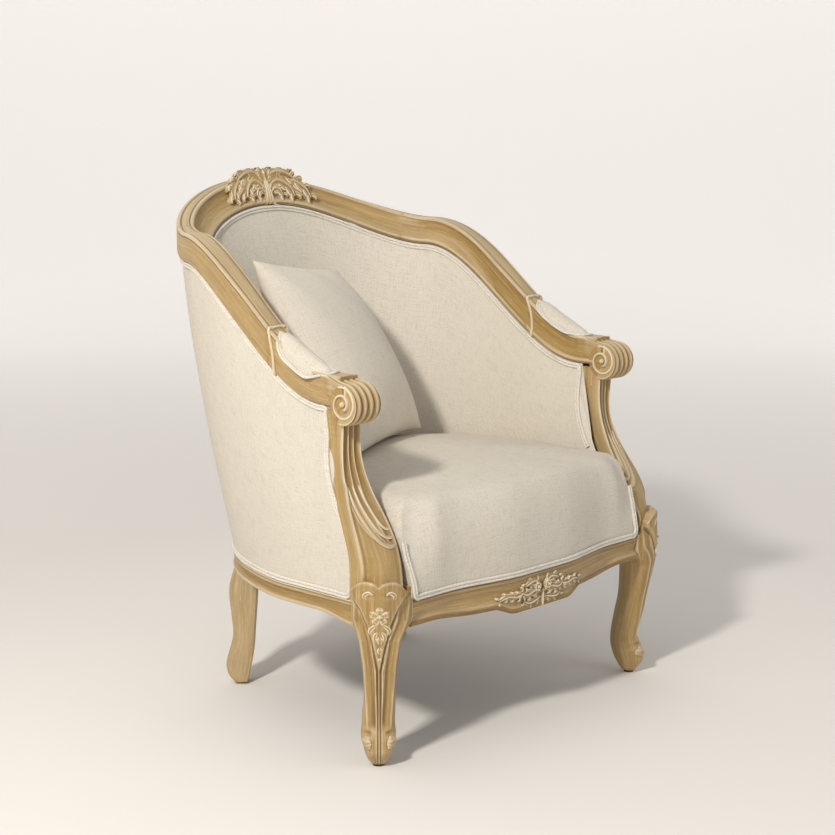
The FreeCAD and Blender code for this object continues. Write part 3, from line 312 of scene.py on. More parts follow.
OAK = LimedOak("limed_waxed_oak", Slot.OAK, "#b08b57", 0.48)
LINEN = Linen("heathered_linen_upholstery", Slot.LINEN, "#d2cabb", 0.92,
              slub_and_shade="#a19887", light="#eee9df")
WELT = Linen("linen_double_welt_cord", Slot.WELT, "#ded8cb", 0.9, slub_and_shade="#8d8473", light="#f2eee5")
PILLOW = Linen("soft_linen_pillow_cover", Slot.PILLOW, "#dcd4c5", 0.92,
               slub_and_shade="#b9ae9b", light="#efe9dd")
# what the construction's own parts are made of, seen from below or inside
HIDDEN = {
    Slot.BEECH: Finish("beech_frame_unfinished", Slot.BEECH, "#c49a6c", 0.6),
    Slot.WEBBING: Finish("jute_webbing_woven", Slot.WEBBING, "#a98d5c", 0.9),
    Slot.DECK: Finish("deck_cotton_sheeting", Slot.DECK, "#d6cdbb", 0.9),
    Slot.DUST: Finish("dust_cambric_nonwoven", Slot.DUST, "#2b2a28", 0.95),
    Slot.STEEL: Finish("zinc_plated_steel", Slot.STEEL, "#9aa0a4", 0.35, 1.0),
    Slot.GLIDE: Finish("glide_nylon_moulded", Slot.GLIDE, "#3a332b", 0.5),
}


# Mesh helpers

@dataclass
class Patch:
    """Points in millimetres, faces, and the texture places of the faces' corners in metres.

    quiet lists points that take neither painted highlight nor painted shade, such as those where
    two lengths of wood meet.
    """
    points: list = field(default_factory=list)
    faces: list = field(default_factory=list)
    places: list = field(default_factory=list)
    quiet: list = field(default_factory=list)

    def add(self, other: "Patch") -> "Patch":
        """Append another patch to this one.

        Args:
            other: the patch to add.
        Returns:
            This patch.
        """
        base = len(self.points)
        self.points.extend(other.points)
        self.faces.extend([[i + base for i in face] for face in other.faces])
        self.places.extend(other.places)
        self.quiet.extend(i + base for i in other.quiet)
        return self

    def mirrored(self) -> "Patch":
        """Copy mirrored across the chair's middle plane.

        Returns:
            The copy.
        """
        flipped = [(-p[0], p[1], p[2]) for p in self.points]
        return Patch(flipped, [face[::-1] for face in self.faces],
                     [place[::-1] for place in self.places], list(self.quiet))


def lattice(points: np.ndarray, wrap: bool = True, caps: bool = True) -> Patch:
    """Skin over a grid of points.

    Args:
        points: rows of columns of points.
        wrap: the columns close on themselves.
        caps: close the first and last row.
    Returns:
        The patch.
    """
    grid = np.asarray(points, float)
    rows, columns = grid.shape[:2]
    steps_u = np.linalg.norm(np.diff(grid, axis=0), axis=2).mean(axis=1)
    u = np.concatenate([[0.0], np.cumsum(steps_u)]) * MM
    ring = np.concatenate([grid, grid[:, :1]], axis=1)
    steps_v = np.linalg.norm(np.diff(ring, axis=1), axis=2).mean(axis=0)
    v = np.concatenate([[0.0], np.cumsum(steps_v)]) * MM
    patch = Patch([tuple(p) for p in grid.reshape(-1, 3)])
    last = columns if wrap else columns - 1

    def place(row: int, column: int) -> tuple[float, float]:
        """Texture place of a grid point, the grain running from row to row."""
        return u[row], v[column]

    for r in range(rows - 1):
        for c in range(last):
            n = (c + 1) % columns
            patch.faces.append([r * columns + c, r * columns + n, (r + 1) * columns + n,
                                (r + 1) * columns + c])
            patch.places.append([place(r, c), place(r, c + 1), place(r + 1, c + 1),
                                 place(r + 1, c)])
    cap_run = 0.01
    if caps and wrap:
        for r in (0, rows - 1):
            middle = grid[r].mean(axis=0)
            patch.points.append(tuple(middle))
            centre = len(patch.points) - 1
            patch.quiet.extend([*range(r * columns, (r + 1) * columns), centre])
            for c in range(columns):
                face = [r * columns + c, r * columns + (c + 1) % columns, centre]
                corners = [place(r, c), place(r, c + 1), (u[r], v[c] + cap_run)]
                patch.faces.append(face if r else face[::-1])
                patch.places.append(corners if r else corners[::-1])
    return patch


def spline(points: Sequence[Sequence[float]], count: int) -> np.ndarray:
    """Smooth curve through points.

    Args:
        points: the points, with any number of coordinates.
        count: number of points wanted.
    Returns:
        Points evenly spaced along the curve.
    """
    span_steps = 16
    knots = np.asarray(points, float)
    padded = np.vstack([2 * knots[0] - knots[1], knots, 2 * knots[-1] - knots[-2]])
    dense = []
    for i in range(1, len(padded) - 2):
        a, b, c, d = padded[i - 1:i + 3]
        for t in np.linspace(0, 1, span_steps, endpoint=False):
            dense.append(0.5 * ((2 * b) + (c - a) * t + (2 * a - 5 * b + 4 * c - d) * t * t
                                + (3 * b - a - 3 * c + d) * t ** 3))
    dense.append(knots[-1])
    dense = np.array(dense)
    run = np.concatenate([[0.0], np.cumsum(np.linalg.norm(np.diff(dense, axis=0), axis=1))])
    at_places = np.linspace(0, run[-1], count)
    columns = [np.interp(at_places, run, dense[:, k]) for k in range(dense.shape[1])]
    return np.stack(columns, axis=1)


def smoothstep(value: np.ndarray | float) -> np.ndarray | float:
    """Ease from 0 to 1."""
    value = np.clip(value, 0.0, 1.0)
    return value * value * (3 - 2 * value)


def bell(value: np.ndarray | float, middle: float, width: float) -> np.ndarray | float:
    """Rounded bump of height 1 about a middle."""
    return np.exp(-((value - middle) / width) ** 2)


def tube(line: np.ndarray, radius: float | Sequence[float], sides: int = 10,
         closed: bool = False) -> Patch:
    """Round cord along a line.

    Args:
        line: points.
        radius: one radius, or one for each point.
        sides: number of sides.
        closed: the line returns to its start.
    Returns:
        The patch.
    """
    line = np.asarray(line, float)
    if closed:
        line = np.vstack([line, line[:1]])
    radii = np.broadcast_to(np.asarray(radius, float), (len(line),))
    if closed:
        tangents = np.roll(line[:-1], -1, axis=0) - np.roll(line[:-1], 1, axis=0)
        tangents = np.vstack([tangents, tangents[:1]])
    else:
        tangents = np.gradient(line, axis=0)
    tangents /= np.linalg.norm(tangents, axis=1)[:, None]
    side = np.cross(tangents[0], (0.0, 0.0, 1.0))
    if np.linalg.norm(side) < 0.1:
        side = np.cross(tangents[0], (0.0, 1.0, 0.0))
    rows = []
    angles = np.linspace(0, 2 * math.pi, sides, endpoint=False)
    for point, tangent, size in zip(line, tangents, radii):
        side = side - tangent * np.dot(side, tangent)
        side /= np.linalg.norm(side)
        up = np.cross(side, tangent)
        rows.append([point + size * (math.cos(a) * side + math.sin(a) * up) for a in angles])
    return lattice(np.array(rows), caps=not closed)


Surface = Callable[[float, float, float], np.ndarray]


def blade(surface: Surface, line: Sequence[Sequence[float]], width: Sequence[float],
          height: Sequence[float], ribs: int = 0, sink: float = 2.5, count: int = 18) -> Patch:
    """Domed tongue, leaf, bead or petal lying on a surface.

    Args:
        surface: point at two surface coordinates and a lift, in millimetres.
        line: the tongue's middle line in surface coordinates.
        width: half widths at even steps along the line.
        height: heights at even steps along the line.
        ribs: number of hollows across it.
        sink: depth of its foot below the surface.
        count: number of points along it.
    Returns:
        The patch.
    """
    path = spline(line, count)
    part = np.linspace(0, 1, count)
    widths = np.interp(part, np.linspace(0, 1, len(width)), width)
    heights = np.interp(part, np.linspace(0, 1, len(height)), height)
    tangents = np.gradient(path, axis=0)
    tangents /= np.maximum(np.linalg.norm(tangents, axis=1)[:, None], 1e-9)
    normals = np.stack([-tangents[:, 1], tangents[:, 0]], axis=1)
    across = np.linspace(-1, 1, 15 if ribs else 9)
    fullness, rib_depth, foot_share = 0.55, 0.28, 0.85
    margin = sink * 0.2
    rows = []
    for point, normal, w, h in zip(path, normals, widths, heights):
        row = []
        for s in across:
            dome = (1 - s * s) ** fullness
            if ribs:
                dome *= 1 - rib_depth * (0.5 - 0.5 * math.cos(2 * math.pi * ribs * (s + 1) / 2))
            a, b = point + normal * w * s
            row.append(surface(a, b, -margin + (h + margin) * dome))
        for s in (foot_share, -foot_share):
            a, b = point + normal * w * s
            row.append(surface(a, b, -sink))
        rows.append(row)
    return lattice(np.array(rows))


def acanthus(on: Surface, line: list, width: float, height: float, lobes: int) -> Patch:
    """Ribbed leaf with curled lobes along both margins.

    Args:
        on: surface that it lies on.
        line: the leaf's rib in surface coordinates.
        width: half its greatest width.
        height: its relief.
        lobes: number of lobes on each margin.
    Returns:
        The patch.
    """
    patch = blade(on, line, (width * 0.35, width * 0.8, width, width * 0.8, width * 0.25),
                  (height * 0.5, height * 0.85, height, height, height * 0.5),
                  ribs=2, sink=5, count=24)
    spine = spline(line, 40)
    ahead = np.gradient(spine, axis=0)
    ahead /= np.linalg.norm(ahead, axis=1)[:, None]
    first, spread = 8, 29
    for k in range(lobes):
        i = int(first + spread * k / max(lobes - 1, 1))
        for hand in (-1, 1):
            out = np.array([-ahead[i][1], ahead[i][0]]) * hand
            base = spine[i] + out * width * 0.35
            reach = width * (1.05 - 0.35 * k / lobes)
            curl = [base, base + out * reach * 0.55 + ahead[i] * reach * 0.25,
                    base + out * reach * 0.85 + ahead[i] * reach * 0.8,
                    base + out * reach * 0.55 + ahead[i] * reach * 1.15]
            patch.add(blade(on, curl, (width * 0.34, width * 0.36, width * 0.32, width * 0.12),
                            (height * 0.8, height * 1.05, height * 1.2, height * 0.7),
                            ribs=1, sink=5, count=12))
    return patch


def double_cord(line: np.ndarray, across: np.ndarray, radius: float,
                closed: bool = False) -> Patch:
    """Double welt: two cords side by side.

    Args:
        line: middle line.
        across: direction from the middle line to the second cord, one for each point.
        radius: radius of each cord.
        closed: the line returns to its start.
    Returns:
        The patch.
    """
    pressed = 0.97
    shift = across / np.linalg.norm(across, axis=1)[:, None] * radius * pressed
    patch = tube(line + shift, radius, closed=closed)
    return patch.add(tube(line - shift, radius, closed=closed))


def shade_relief(mesh: bpy.types.Mesh, quiet: Sequence[int]) -> None:
    """Write how round each point is, for the finishes: a mask of painted highlight on ridges and a
    mask of painted shade in hollows.

    Args:
        mesh: the mesh.
        quiet: points at joints between lengths, which get neither.
    """
    count = len(mesh.vertices)
    points = np.empty(count * 3)
    mesh.vertices.foreach_get("co", points)
    points = points.reshape(-1, 3)
    normals = np.empty(count * 3, np.float32)
    mesh.vertices.foreach_get("normal", normals)
    normals = normals.reshape(-1, 3).astype(float)
    edges = np.empty(len(mesh.edges) * 2, np.int32)
    mesh.edges.foreach_get("vertices", edges)
    first, second = edges.reshape(-1, 2).T
    step = points[second] - points[first]
    run = np.maximum((step ** 2).sum(axis=1), 1e-8)
    degree = np.maximum(np.bincount(np.concatenate([first, second]), minlength=count), 1)
    bend = np.bincount(first, -(normals[first] * step).sum(axis=1) / run, count)
    bend += np.bincount(second, (normals[second] * step).sum(axis=1) / run, count)
    bend /= degree
    bend[list(quiet)] = 0.0
    for _ in range(2):
        spread = np.bincount(first, bend[second], count) + np.bincount(second, bend[first], count)
        bend = 0.5 * bend + 0.5 * spread / degree
    # the masks of painted highlight on ridges and painted shade in hollows
    for name, values in (("wax_and_highlight", bend / HIGHLIGHT_BEND), ("hollow_shade", -bend / SHADE_BEND)):
        attribute = mesh.attributes.new(name, "FLOAT", "POINT")
        attribute.data.foreach_set("value", np.clip(values, 0, 1).astype(np.float32))


@dataclass
class Workshop:
    """Turns patches into the object's pieces."""
    materials: dict = field(default_factory=dict)

    def material(self, finish: Finish) -> bpy.types.Material:
        """The finish's material, made once.

        Args:
            finish: the finish.
        Returns:
            The material.
        """
        if finish.name not in self.materials:
            self.materials[finish.name] = finish.build()
        return self.materials[finish.name]

    def piece(self, name: str, patch: Patch, finish: Finish, replaced: Sequence[str] = (),
              body: Body = Body.CHAIR,
              angle: float = 38.0) -> bpy.types.Object:
        """Make one piece from a patch.

        Args:
            name: the piece's name.
            patch: its shape in millimetres.
            finish: its finish.
            replaced: construction nodes that it stands for.
            body: the body that it rides on.
            angle: angle of the sharp edges, in degrees.
        Returns:
            The object.
        """
        mesh = bpy.data.meshes.new(name)
        mesh.from_pydata([(x * MM, (y + SHIFT) * MM, z * MM) for x, y, z in patch.points], [],
                         patch.faces)
        layer = mesh.uv_layers.new(name="run")
        flat = np.array([c for face in patch.places for corner in face for c in corner],
                        np.float32)
        layer.data.foreach_set("uv", flat)
        shape = bmesh.new()
        shape.from_mesh(mesh)
        bmesh.ops.recalc_face_normals(shape, faces=shape.faces)
        shape.to_mesh(mesh)
        shape.free()
        mesh.shade_smooth()
        mesh.set_sharp_from_angle(angle=math.radians(angle))
        shade_relief(mesh, patch.quiet)
        mesh.materials.append(self.material(finish))
        obj = bpy.data.objects.new(name, mesh)
        bpy.context.scene.collection.objects.link(obj)
        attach(obj, body.value)
        if replaced:
            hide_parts(*replaced)
        log.info("%s: %d faces", name, len(mesh.polygons))
        return obj


# The chair's plan and its upholstered walls

@dataclass
class TubPlan:
    """Plan of the tub back and the heights along it, in mm.

    A path is a length along the rail's outline from the middle of the back, negative on the left.
    """
    half_width: float = 336.0
    depth: float = 345.0
    power: float = 2.3
    shoulder: float = 802.0
    crest: float = 78.0
    crest_half: float = 374.0
    fall: float = 197.0
    tab_y: float = -199.0
    step_y: float = -72.0
    deck: float = 291.6
    outside_bottom: float = 262.6
    rail_depth: float = 48.0
    lean_back: float = 115.0
    lean_swing: float = 125.0
    lean_run: float = 670.0
    foot_reach: float = 55.0
    foot_loss: float = 15.0
    foot_start: float = 400.0
    band_narrow: float = 30.0
    band_gain: float = 12.0
    wall_start: float = 300.0
    arm_end: float = -420.0

    def __post_init__(self) -> None:
        """Measure the plan's outline once."""
        angles = np.linspace(0, math.pi / 2, 361)
        x = self.half_width * np.sin(angles) ** (2 / self.power)
        y = self.depth * np.maximum(np.cos(angles), 0) ** (2 / self.power)
        x, y = np.append(x, self.half_width), np.append(y, self.arm_end)
        run = np.concatenate([[0.0], np.cumsum(np.hypot(np.diff(x), np.diff(y)))])
        self.outline = (run, x, y)
        self.straight = run[-2]

    def path_at_y(self, y: float) -> float:
        """Path length at which the straight arm passes a y."""
        return self.straight - y

    def point(self, path: float) -> np.ndarray:
        """Plan point of the rail's outer face.

        Args:
            path: length along the rail from the middle of the back.
        Returns:
            X and y.
        """
        run, x, y = self.outline
        along = abs(path)
        return np.array([math.copysign(np.interp(along, run, x), path or 1.0),
                         np.interp(along, run, y)])

    def normal(self, path: float) -> np.ndarray:
        """Outward direction in the plan.

        Args:
            path: length along the rail from the middle of the back.
        Returns:
            The direction.
        """
        step = self.point(path + 12) - self.point(path - 12)
        step /= np.hypot(*step)
        return np.array([-step[1], step[0]])

    def at(self, path: float, outward: float, z: float) -> np.ndarray:
        """Point at a distance outside the outline.

        Args:
            path: length along the rail from the middle of the back, in mm; negative on the left.
            outward: distance outside the outline.
            z: height.
        Returns:
            The point.
        """
        place = self.point(path) + self.normal(path) * outward
        return np.array([place[0], place[1], z])

    def top(self, path: float) -> float:
        """Height of the top rail.

        Args:
            path: length along the rail from the middle of the back, in mm; negative on the left.
        Returns:
            The height.
        """
        along = abs(path)
        if along <= self.crest_half:
            return self.shoulder + self.crest * (
                0.5 * (1 + math.cos(math.pi * along / self.crest_half))) ** 0.78
        run = (along - self.crest_half) / (self.path_at_y(self.tab_y) - self.crest_half)
        return self.shoulder - self.fall * float(smoothstep(min(run, 1.0) ** 1.1))

    def deep(self, path: float) -> float:
        """Depth of the top rail, measured upright."""
        slope = (self.top(path + 2) - self.top(path - 2)) / 4
        return self.rail_depth * math.hypot(1, slope)

    def lean(self, path: float) -> float:
        """How far in the seat rail stands below the top rail."""
        share = float(smoothstep((abs(path) / self.lean_run) ** 1.8))
        return self.lean_back - self.lean_swing * share

    def reach(self, path: float) -> float:
        """Thickness of the top rail at its foot bead.

        Args:
            path: length along the rail from the middle of the back.
        Returns:
            The thickness.
        """
        run = self.path_at_y(self.step_y) - self.foot_start
        return self.foot_reach - self.foot_loss * float(
            smoothstep((abs(path) - self.foot_start) / run))

    def band(self, path: float) -> float:
        """Width of the top rail's flat top."""
        gain = self.band_gain * float(smoothstep((abs(path) - self.wall_start) / 155))
        return min(self.band_narrow + gain, self.reach(path) - 2)

    def wall_top(self, path: float) -> float:
        """Height of the upholstery's upper edge."""
        return self.top(path) - self.deep(path) - 1

    def inside(self, path: float, share: float) -> float:
        """Outward place of the inside cover at a share of its depth.

        Args:
            path: length along the rail from the middle of the back, in mm; negative on the left.
            share: 0 at the cover's upper edge, 1 at its lower one.
        Returns:
            The distance, negative inwards.
        """
        wall = float(smoothstep((abs(path) - self.wall_start) / 300))
        first = -self.reach(path) + 2
        base = -self.lean(path) - (85 - 23 * wall)
        return first + (base - first) * share - (16 - 7 * wall) * 4 * share * (1 - share)

    def outside(self, path: float, share: float) -> float:
        """Outward place of the outside cover at a share of its depth.

        Args:
            path: length along the rail from the middle of the back, in mm; negative on the left.
            share: 0 at the cover's upper edge, 1 at its lower one.
        Returns:
            The distance, negative inwards.
        """
        base = -self.lean(path) - 1.7
        flat = float(smoothstep((self.path_at_y(-205) - abs(path)) / 70))
        return -7 + (base + 7) * share + (3 + 10 * flat) * 4 * share * (1 - share)

    def wall_point(self, path: float, z: float, inside: bool, lift: float = 0.0) -> np.ndarray:
        """Point on one of the covers at a height.

        Args:
            path: length along the rail from the middle of the back, in mm; negative on the left.
            z: height.
            inside: the inside cover, or else the outside one.
            lift: distance off the cover's face.
        Returns:
            The point.
        """
        bottom = self.deck if inside else self.outside_bottom
        top = self.wall_top(path)
        share = (top - z) / (top - bottom)
        out = self.inside(path, share) - lift if inside else self.outside(path, share) + lift
        return self.at(path, out, z)


# share of the post's height; how far out the inner corner moves, in mm; the inner corner's
# forward sweep; the outer corner's outward flare; its forward sweep, the last three as shares
POST_ROWS = (
    (1.06, 11, -0.06, 0.00, -0.08), (1.00, 11, -0.09, 0.00, -0.11), (0.81, 12, -0.10, -0.05, -0.15),
    (0.69, 11, -0.03, 0.00, -0.13), (0.54, 8, 0.15, 0.24, 0.01), (0.41, 4, 0.39, 0.62, 0.22),
    (0.27, 3, 0.64, 1.00, 0.45), (0.14, 7, 0.81, 1.14, 0.59), (0.00, 15, 0.95, 1.05, 0.53))


@dataclass
class Post:
    """The arm post's front corners along its height."""
    foot: float = POST_FOOT
    height: float = 246.0
    inner_x: float = 287.0
    outer_x: float = 336.0
    eye_y: float = -248.0
    sweep: float = 90.0
    flare: float = 21.0
    arm_underside: float = 523.0
    top_depth: float = 45.0
    outer_depth: float = 28.0
    inner_depth: float = 36.0

    def corners(self, z: float) -> tuple[np.ndarray, np.ndarray]:
        """Inner and outer front corner in plan at a height.

        Args:
            z: height.
        Returns:
            The two corners.
        """
        rows = np.array(POST_ROWS)[::-1]
        part = (z - self.foot) / self.height
        values = []
        for column in range(1, 5):
            smooth = [np.interp(part + d, rows[:, 0], rows[:, column]) for d in
                      (-0.05, -0.025, 0, 0.025, 0.05)]
            values.append(float(np.mean(smooth)))
        inner = np.array([self.inner_x + values[0], self.eye_y - self.sweep * values[1]])
        outer = np.array([self.outer_x + self.flare * values[2],
                          self.eye_y - self.sweep * values[3]])
        return inner, outer

    def back(self, z: float, outside: bool) -> float:
        """Y of the back face at a height.

        Args:
            z: height.
            outside: on the outer side, or else on the inner one.
        Returns:
            The mean of the places just below and above, which rounds the bend under the arm.
        """
        steps = (-16, -8, 0, 8, 16)
        total = 0.0
        for step in steps:
            height = z + step
            if height > self.arm_underside:
                total += self.eye_y + self.top_depth
                continue
            inner, outer = self.corners(max(height, self.foot))
            total += outer[1] + self.outer_depth if outside else inner[1] + self.inner_depth
        return total / len(steps)


@dataclass
class TopRail:
    """Moulded top rail: crest, shoulders and arms, with the bead at the arm's step."""
    plan: TubPlan
    crest_end: float = 320.0
    gap: float = 0.15
    spacing: float = 5.0
    end_y: float = -234.0

    def profile(self, path: float) -> np.ndarray:
        """Section of the rail.

        Args:
            path: length along the rail from the middle of the back.
        Returns:
            Points as outward place and drop below the top: up the outer face, over its bead, across
            the flat top with a bead at each edge, down the cove, and round the foot bead.
        """
        d, b, r = self.plan.deep(path), self.plan.band(path), self.plan.reach(path)
        points = [(-6, d), (-2.2, d - 0.4), (-0.5, d - 2), (0, d - 5), (0, d * 0.5), (0, 8.0),
                  (-0.9, 7.0), (-0.7, 5.6), (0.1, 4.2), (-0.4, 2.2), (-2.0, 0.6), (-4.2, 0.0),
                  (-6.2, 0.5), (-7.3, 1.5), (-8.4, 1.7), (-9.5, 0.8), (-11, 0.4),
                  (-0.5 * b - 1, 0.0), (-b + 9.0, 0.4), (-b + 8.0, 1.3), (-b + 6.9, 1.5),
                  (-b + 5.9, 0.6), (-b + 4.2, 0.1), (-b + 2.2, 0.5), (-b + 0.6, 1.8),
                  (-b, 3.8), (-b - 0.2, 5.6), (-b + 0.6, 6.6)]
        foot_o, foot_d, cove_depth = -r + 1.4, 0.80 * d, 5.0
        for t in (0.12, 0.25, 0.4, 0.55, 0.7, 0.85, 1.0):
            o = (-b + 0.6) * (1 - t) + foot_o * t
            z = 6.6 * (1 - t) + foot_d * t
            hollow = cove_depth * 4 * t * (1 - t) * min(1.0, (r - b) / 12 + 0.35)
            points.append((o + hollow * 0.75, z + hollow * 0.55))
        points += [(-r - 0.3, 0.825 * d), (-r - 1.2, 0.86 * d), (-r - 1.3, 0.895 * d),
                   (-r - 0.5, 0.93 * d), (-r + 1.2, 0.95 * d), (-r + 1.4, 0.975 * d),
                   (-r + 3, d), (-0.5 * r, d)]
        return np.array(points)

    def row(self, path: float) -> np.ndarray:
        """Section in space."""
        top = self.plan.top(path)
        return np.array([self.plan.at(path, o, top - d) for o, d in self.profile(path)])

    def run(self, first: float, last: float) -> Patch:
        """Rail between two path lengths."""
        count = max(int(abs(last - first) / self.spacing), 2)
        return lattice(np.array([self.row(p) for p in np.linspace(first, last, count)]))

    def cove(self, a: float, b: float, lift: float) -> np.ndarray:
        """Point on the rail's inner front, where the crest is carved.

        Args:
            a: length along the rail from the middle of the back.
            b: height from the foot bead towards the top.
            lift: distance off the wood.
        Returns:
            The point.
        """
        d, band, r = self.plan.deep(a), self.plan.band(a), self.plan.reach(a)
        cove_height = 46
        rise = min(max(b / cove_height, -0.1), 1.35)
        out = -r + (r - band) * rise ** 1.25 if rise > 0 else -r
        z = self.plan.top(a) - d * (1 - rise)
        if rise > 1:
            out = -band + (rise - 1) * 8
        normal = self.plan.normal(a)
        place = self.plan.point(a) + normal * (out - lift * 0.88)
        return np.array([place[0], place[1], z + lift * 0.42])

    def step_bead(self) -> Patch:
        """Raised bead across the arm where the shoulder ends.

        Returns:
            The patch.
        """
        base = self.plan.path_at_y(self.plan.step_y)
        rows = []
        for o, d in self.profile(base)[1:-2]:
            path = base + 16 * (1 - math.exp(-d / 26))
            rows.append(self.plan.at(path, o * 1.02 + (1.2 if d > 3 and o > -6 else 0),
                                     self.plan.top(path) - d + (1.6 if d < 3 else 0)))
        return tube(spline(rows, 60), 2.5)

    def build(self, shop: Workshop) -> None:
        """Make the rail's pieces.

        Args:
            shop: makes the pieces.
        """
        step = self.plan.path_at_y(self.plan.step_y)
        end = self.plan.path_at_y(self.end_y)
        shop.piece("crest_rail_moulding", self.run(-self.crest_end, self.crest_end).add(
            CrestCarving(self).patch()), OAK, ["crest_rail"])
        shoulder = self.run(self.crest_end + self.gap, step - self.gap)
        shop.piece("shoulder_rail_right", shoulder, OAK, ["right_shoulder_rail"])
        shop.piece("shoulder_rail_left", shoulder.mirrored(), OAK, ["left_shoulder_rail"])
        arm = self.run(step, end).add(self.step_bead()).add(HandScroll(self.plan).patch())
        shop.piece("arm_with_hand_scroll_right", arm, OAK, ["right_arm"])
        shop.piece("arm_with_hand_scroll_left", arm.mirrored(), OAK, ["left_arm"])


@dataclass
class CrestCarving:
    """Acanthus carving in the middle of the crest."""
    rail: TopRail

    def patch(self) -> Patch:
        """Reeds, curled leaves and their fronds.

        Returns:
            The patch.
        """
        on = self.rail.cove
        patch = Patch()
        for a in (0, -6, 6):
            patch.add(blade(on, [(a * 2.2, 1), (a * 1.2, 9), (a * 0.8, 22), (a * 0.5, 40)],
                            (5.0, 3.6, 3.0, 2.6), (2.5, 5.0, 7.0, 7.5), sink=4))
        patch.add(acanthus(on, [(0, 34), (1, 46), (0, 59)], 11, 9, 2))
        for side, stretch in ((-1, 1.0), (1, 1.12)):
            # the mass of wood that the leaves are cut in
            mass = [(0, 44), (26, 44), (54, 38), (80, 30), (98, 24)]
            patch.add(blade(on, [(side * a * stretch, b) for a, b in mass], (18, 17, 15, 11, 3),
                            (6.5, 6.5, 6, 4.5, 1), sink=6, count=40))
            for line, width, height, lobes in (
                    ([(5, 26), (18, 38), (36, 40), (54, 29), (60, 16)], 12.5, 8.5, 4),
                    ([(4, 38), (18, 52), (38, 56), (60, 51), (76, 42)], 12, 8.5, 4),
                    ([(7, 20), (16, 27), (27, 25), (33, 15)], 8.5, 6.5, 3),
                    ([(50, 42), (70, 43), (90, 33), (98, 20)], 11, 7.5, 4)):
                leaf = [(side * a * stretch, b) for a, b in line]
                patch.add(acanthus(on, leaf, width, height, lobes))
        return patch


@dataclass
class HandScroll:
    """Reeded hand scroll at the end of the arm: y and z are the side view's, x is across."""
    plan: TubPlan
    eye: tuple[float, float] = (-248.0, 564.0)
    radius: float = 33.0
    flute_depth: float = 3.4
    spiral_start: float = 28.0
    spiral_loss: float = 20.0
    spiral_turn: float = 3.0 * math.pi

    def contour(self) -> tuple[np.ndarray, np.ndarray]:
        """The scroll's contour in the side view.

        Returns:
            Contour points, and the point inside the scroll that each is measured from.
        """
        run = [(-190, 604.2), (-205, 604.4), (-221, 602.4), (-236, 599)]
        turn = [(self.eye[0] - self.radius * math.sin(t), self.eye[1] + self.radius * math.cos(t))
                for t in np.linspace(0, math.radians(200), 22)]
        line = spline(run + turn, 70)
        # over the arm the scroll is measured straight down, and past it from its eye
        over_arm = 30
        middle = np.array([(max(y, self.eye[0]) if i < over_arm else self.eye[0], self.eye[1] - 3)
                           for i, (y, _) in enumerate(line)])
        return line, middle

    def patch(self) -> Patch:
        """The scroll and the spirals on its sides.

        Returns:
            The patch.
        """
        line, middle = self.contour()
        across = np.linspace(0, 1, 43)
        # four reeds with sharp flutes between them
        flute = np.abs(np.cos(4 * math.pi * across)) ** 3.0
        rows = []
        for i, ((y, z), (my, mz)) in enumerate(zip(line, middle)):
            part = i / (len(line) - 1)
            wide = float(smoothstep(part * 2.6))
            x1, x2 = 298 - 4 * wide, 336 + 10 * wide
            direction = np.array([y - my, z - mz])
            far = np.hypot(*direction)
            direction /= far
            depth = self.flute_depth * float(smoothstep((part - 0.06) / 0.12))
            section = [(x1 + 2.0, 0.0), (x1, far - 5), (x1 - 0.9, far - 2)]
            section += [(x1 + (x2 - x1) * s, far - depth * f) for s, f in zip(across, flute)]
            section += [(x2 + 0.9, far - 2), (x2, far - 5), (x2 - 2.0, 0.0)]
            rows.append([(x, my + direction[0] * reach, mz + direction[1] * reach)
                         for x, reach in section])
        patch = lattice(np.array(rows))
        for x, out in ((346.0, 1.0), (294.0, -1.0)):
            def disc(a: float, b: float, lift: float, x: float = x, out: float = out) -> np.ndarray:
                """Point off the scroll's flat side, at a place about its eye."""
                return np.array([x + out * (lift - 1.2), self.eye[0] + a, self.eye[1] + b])

            turn = []
            for t in np.linspace(0, self.spiral_turn, 26):
                r = self.spiral_start - self.spiral_loss * t / self.spiral_turn
                turn.append((r * math.sin(-t + 0.35), r * math.cos(-t + 0.35)))
            patch.add(blade(disc, turn, (2.0, 2.6, 2.6, 2.6, 3.2), (1.6, 3.0, 3.2, 3.4, 4.0),
                            count=110, sink=3))
            patch.add(blade(disc, [(-5, -1), (0, 0.5), (5, 1)], (3, 5.5, 3), (3, 5, 3), sink=3))
            patch.add(tube(np.array([(x - 9 * out, self.eye[0], self.eye[1]),
                                     (x - 1.2 * out, self.eye[0], self.eye[1])]), 28.5, 48))
        return patch


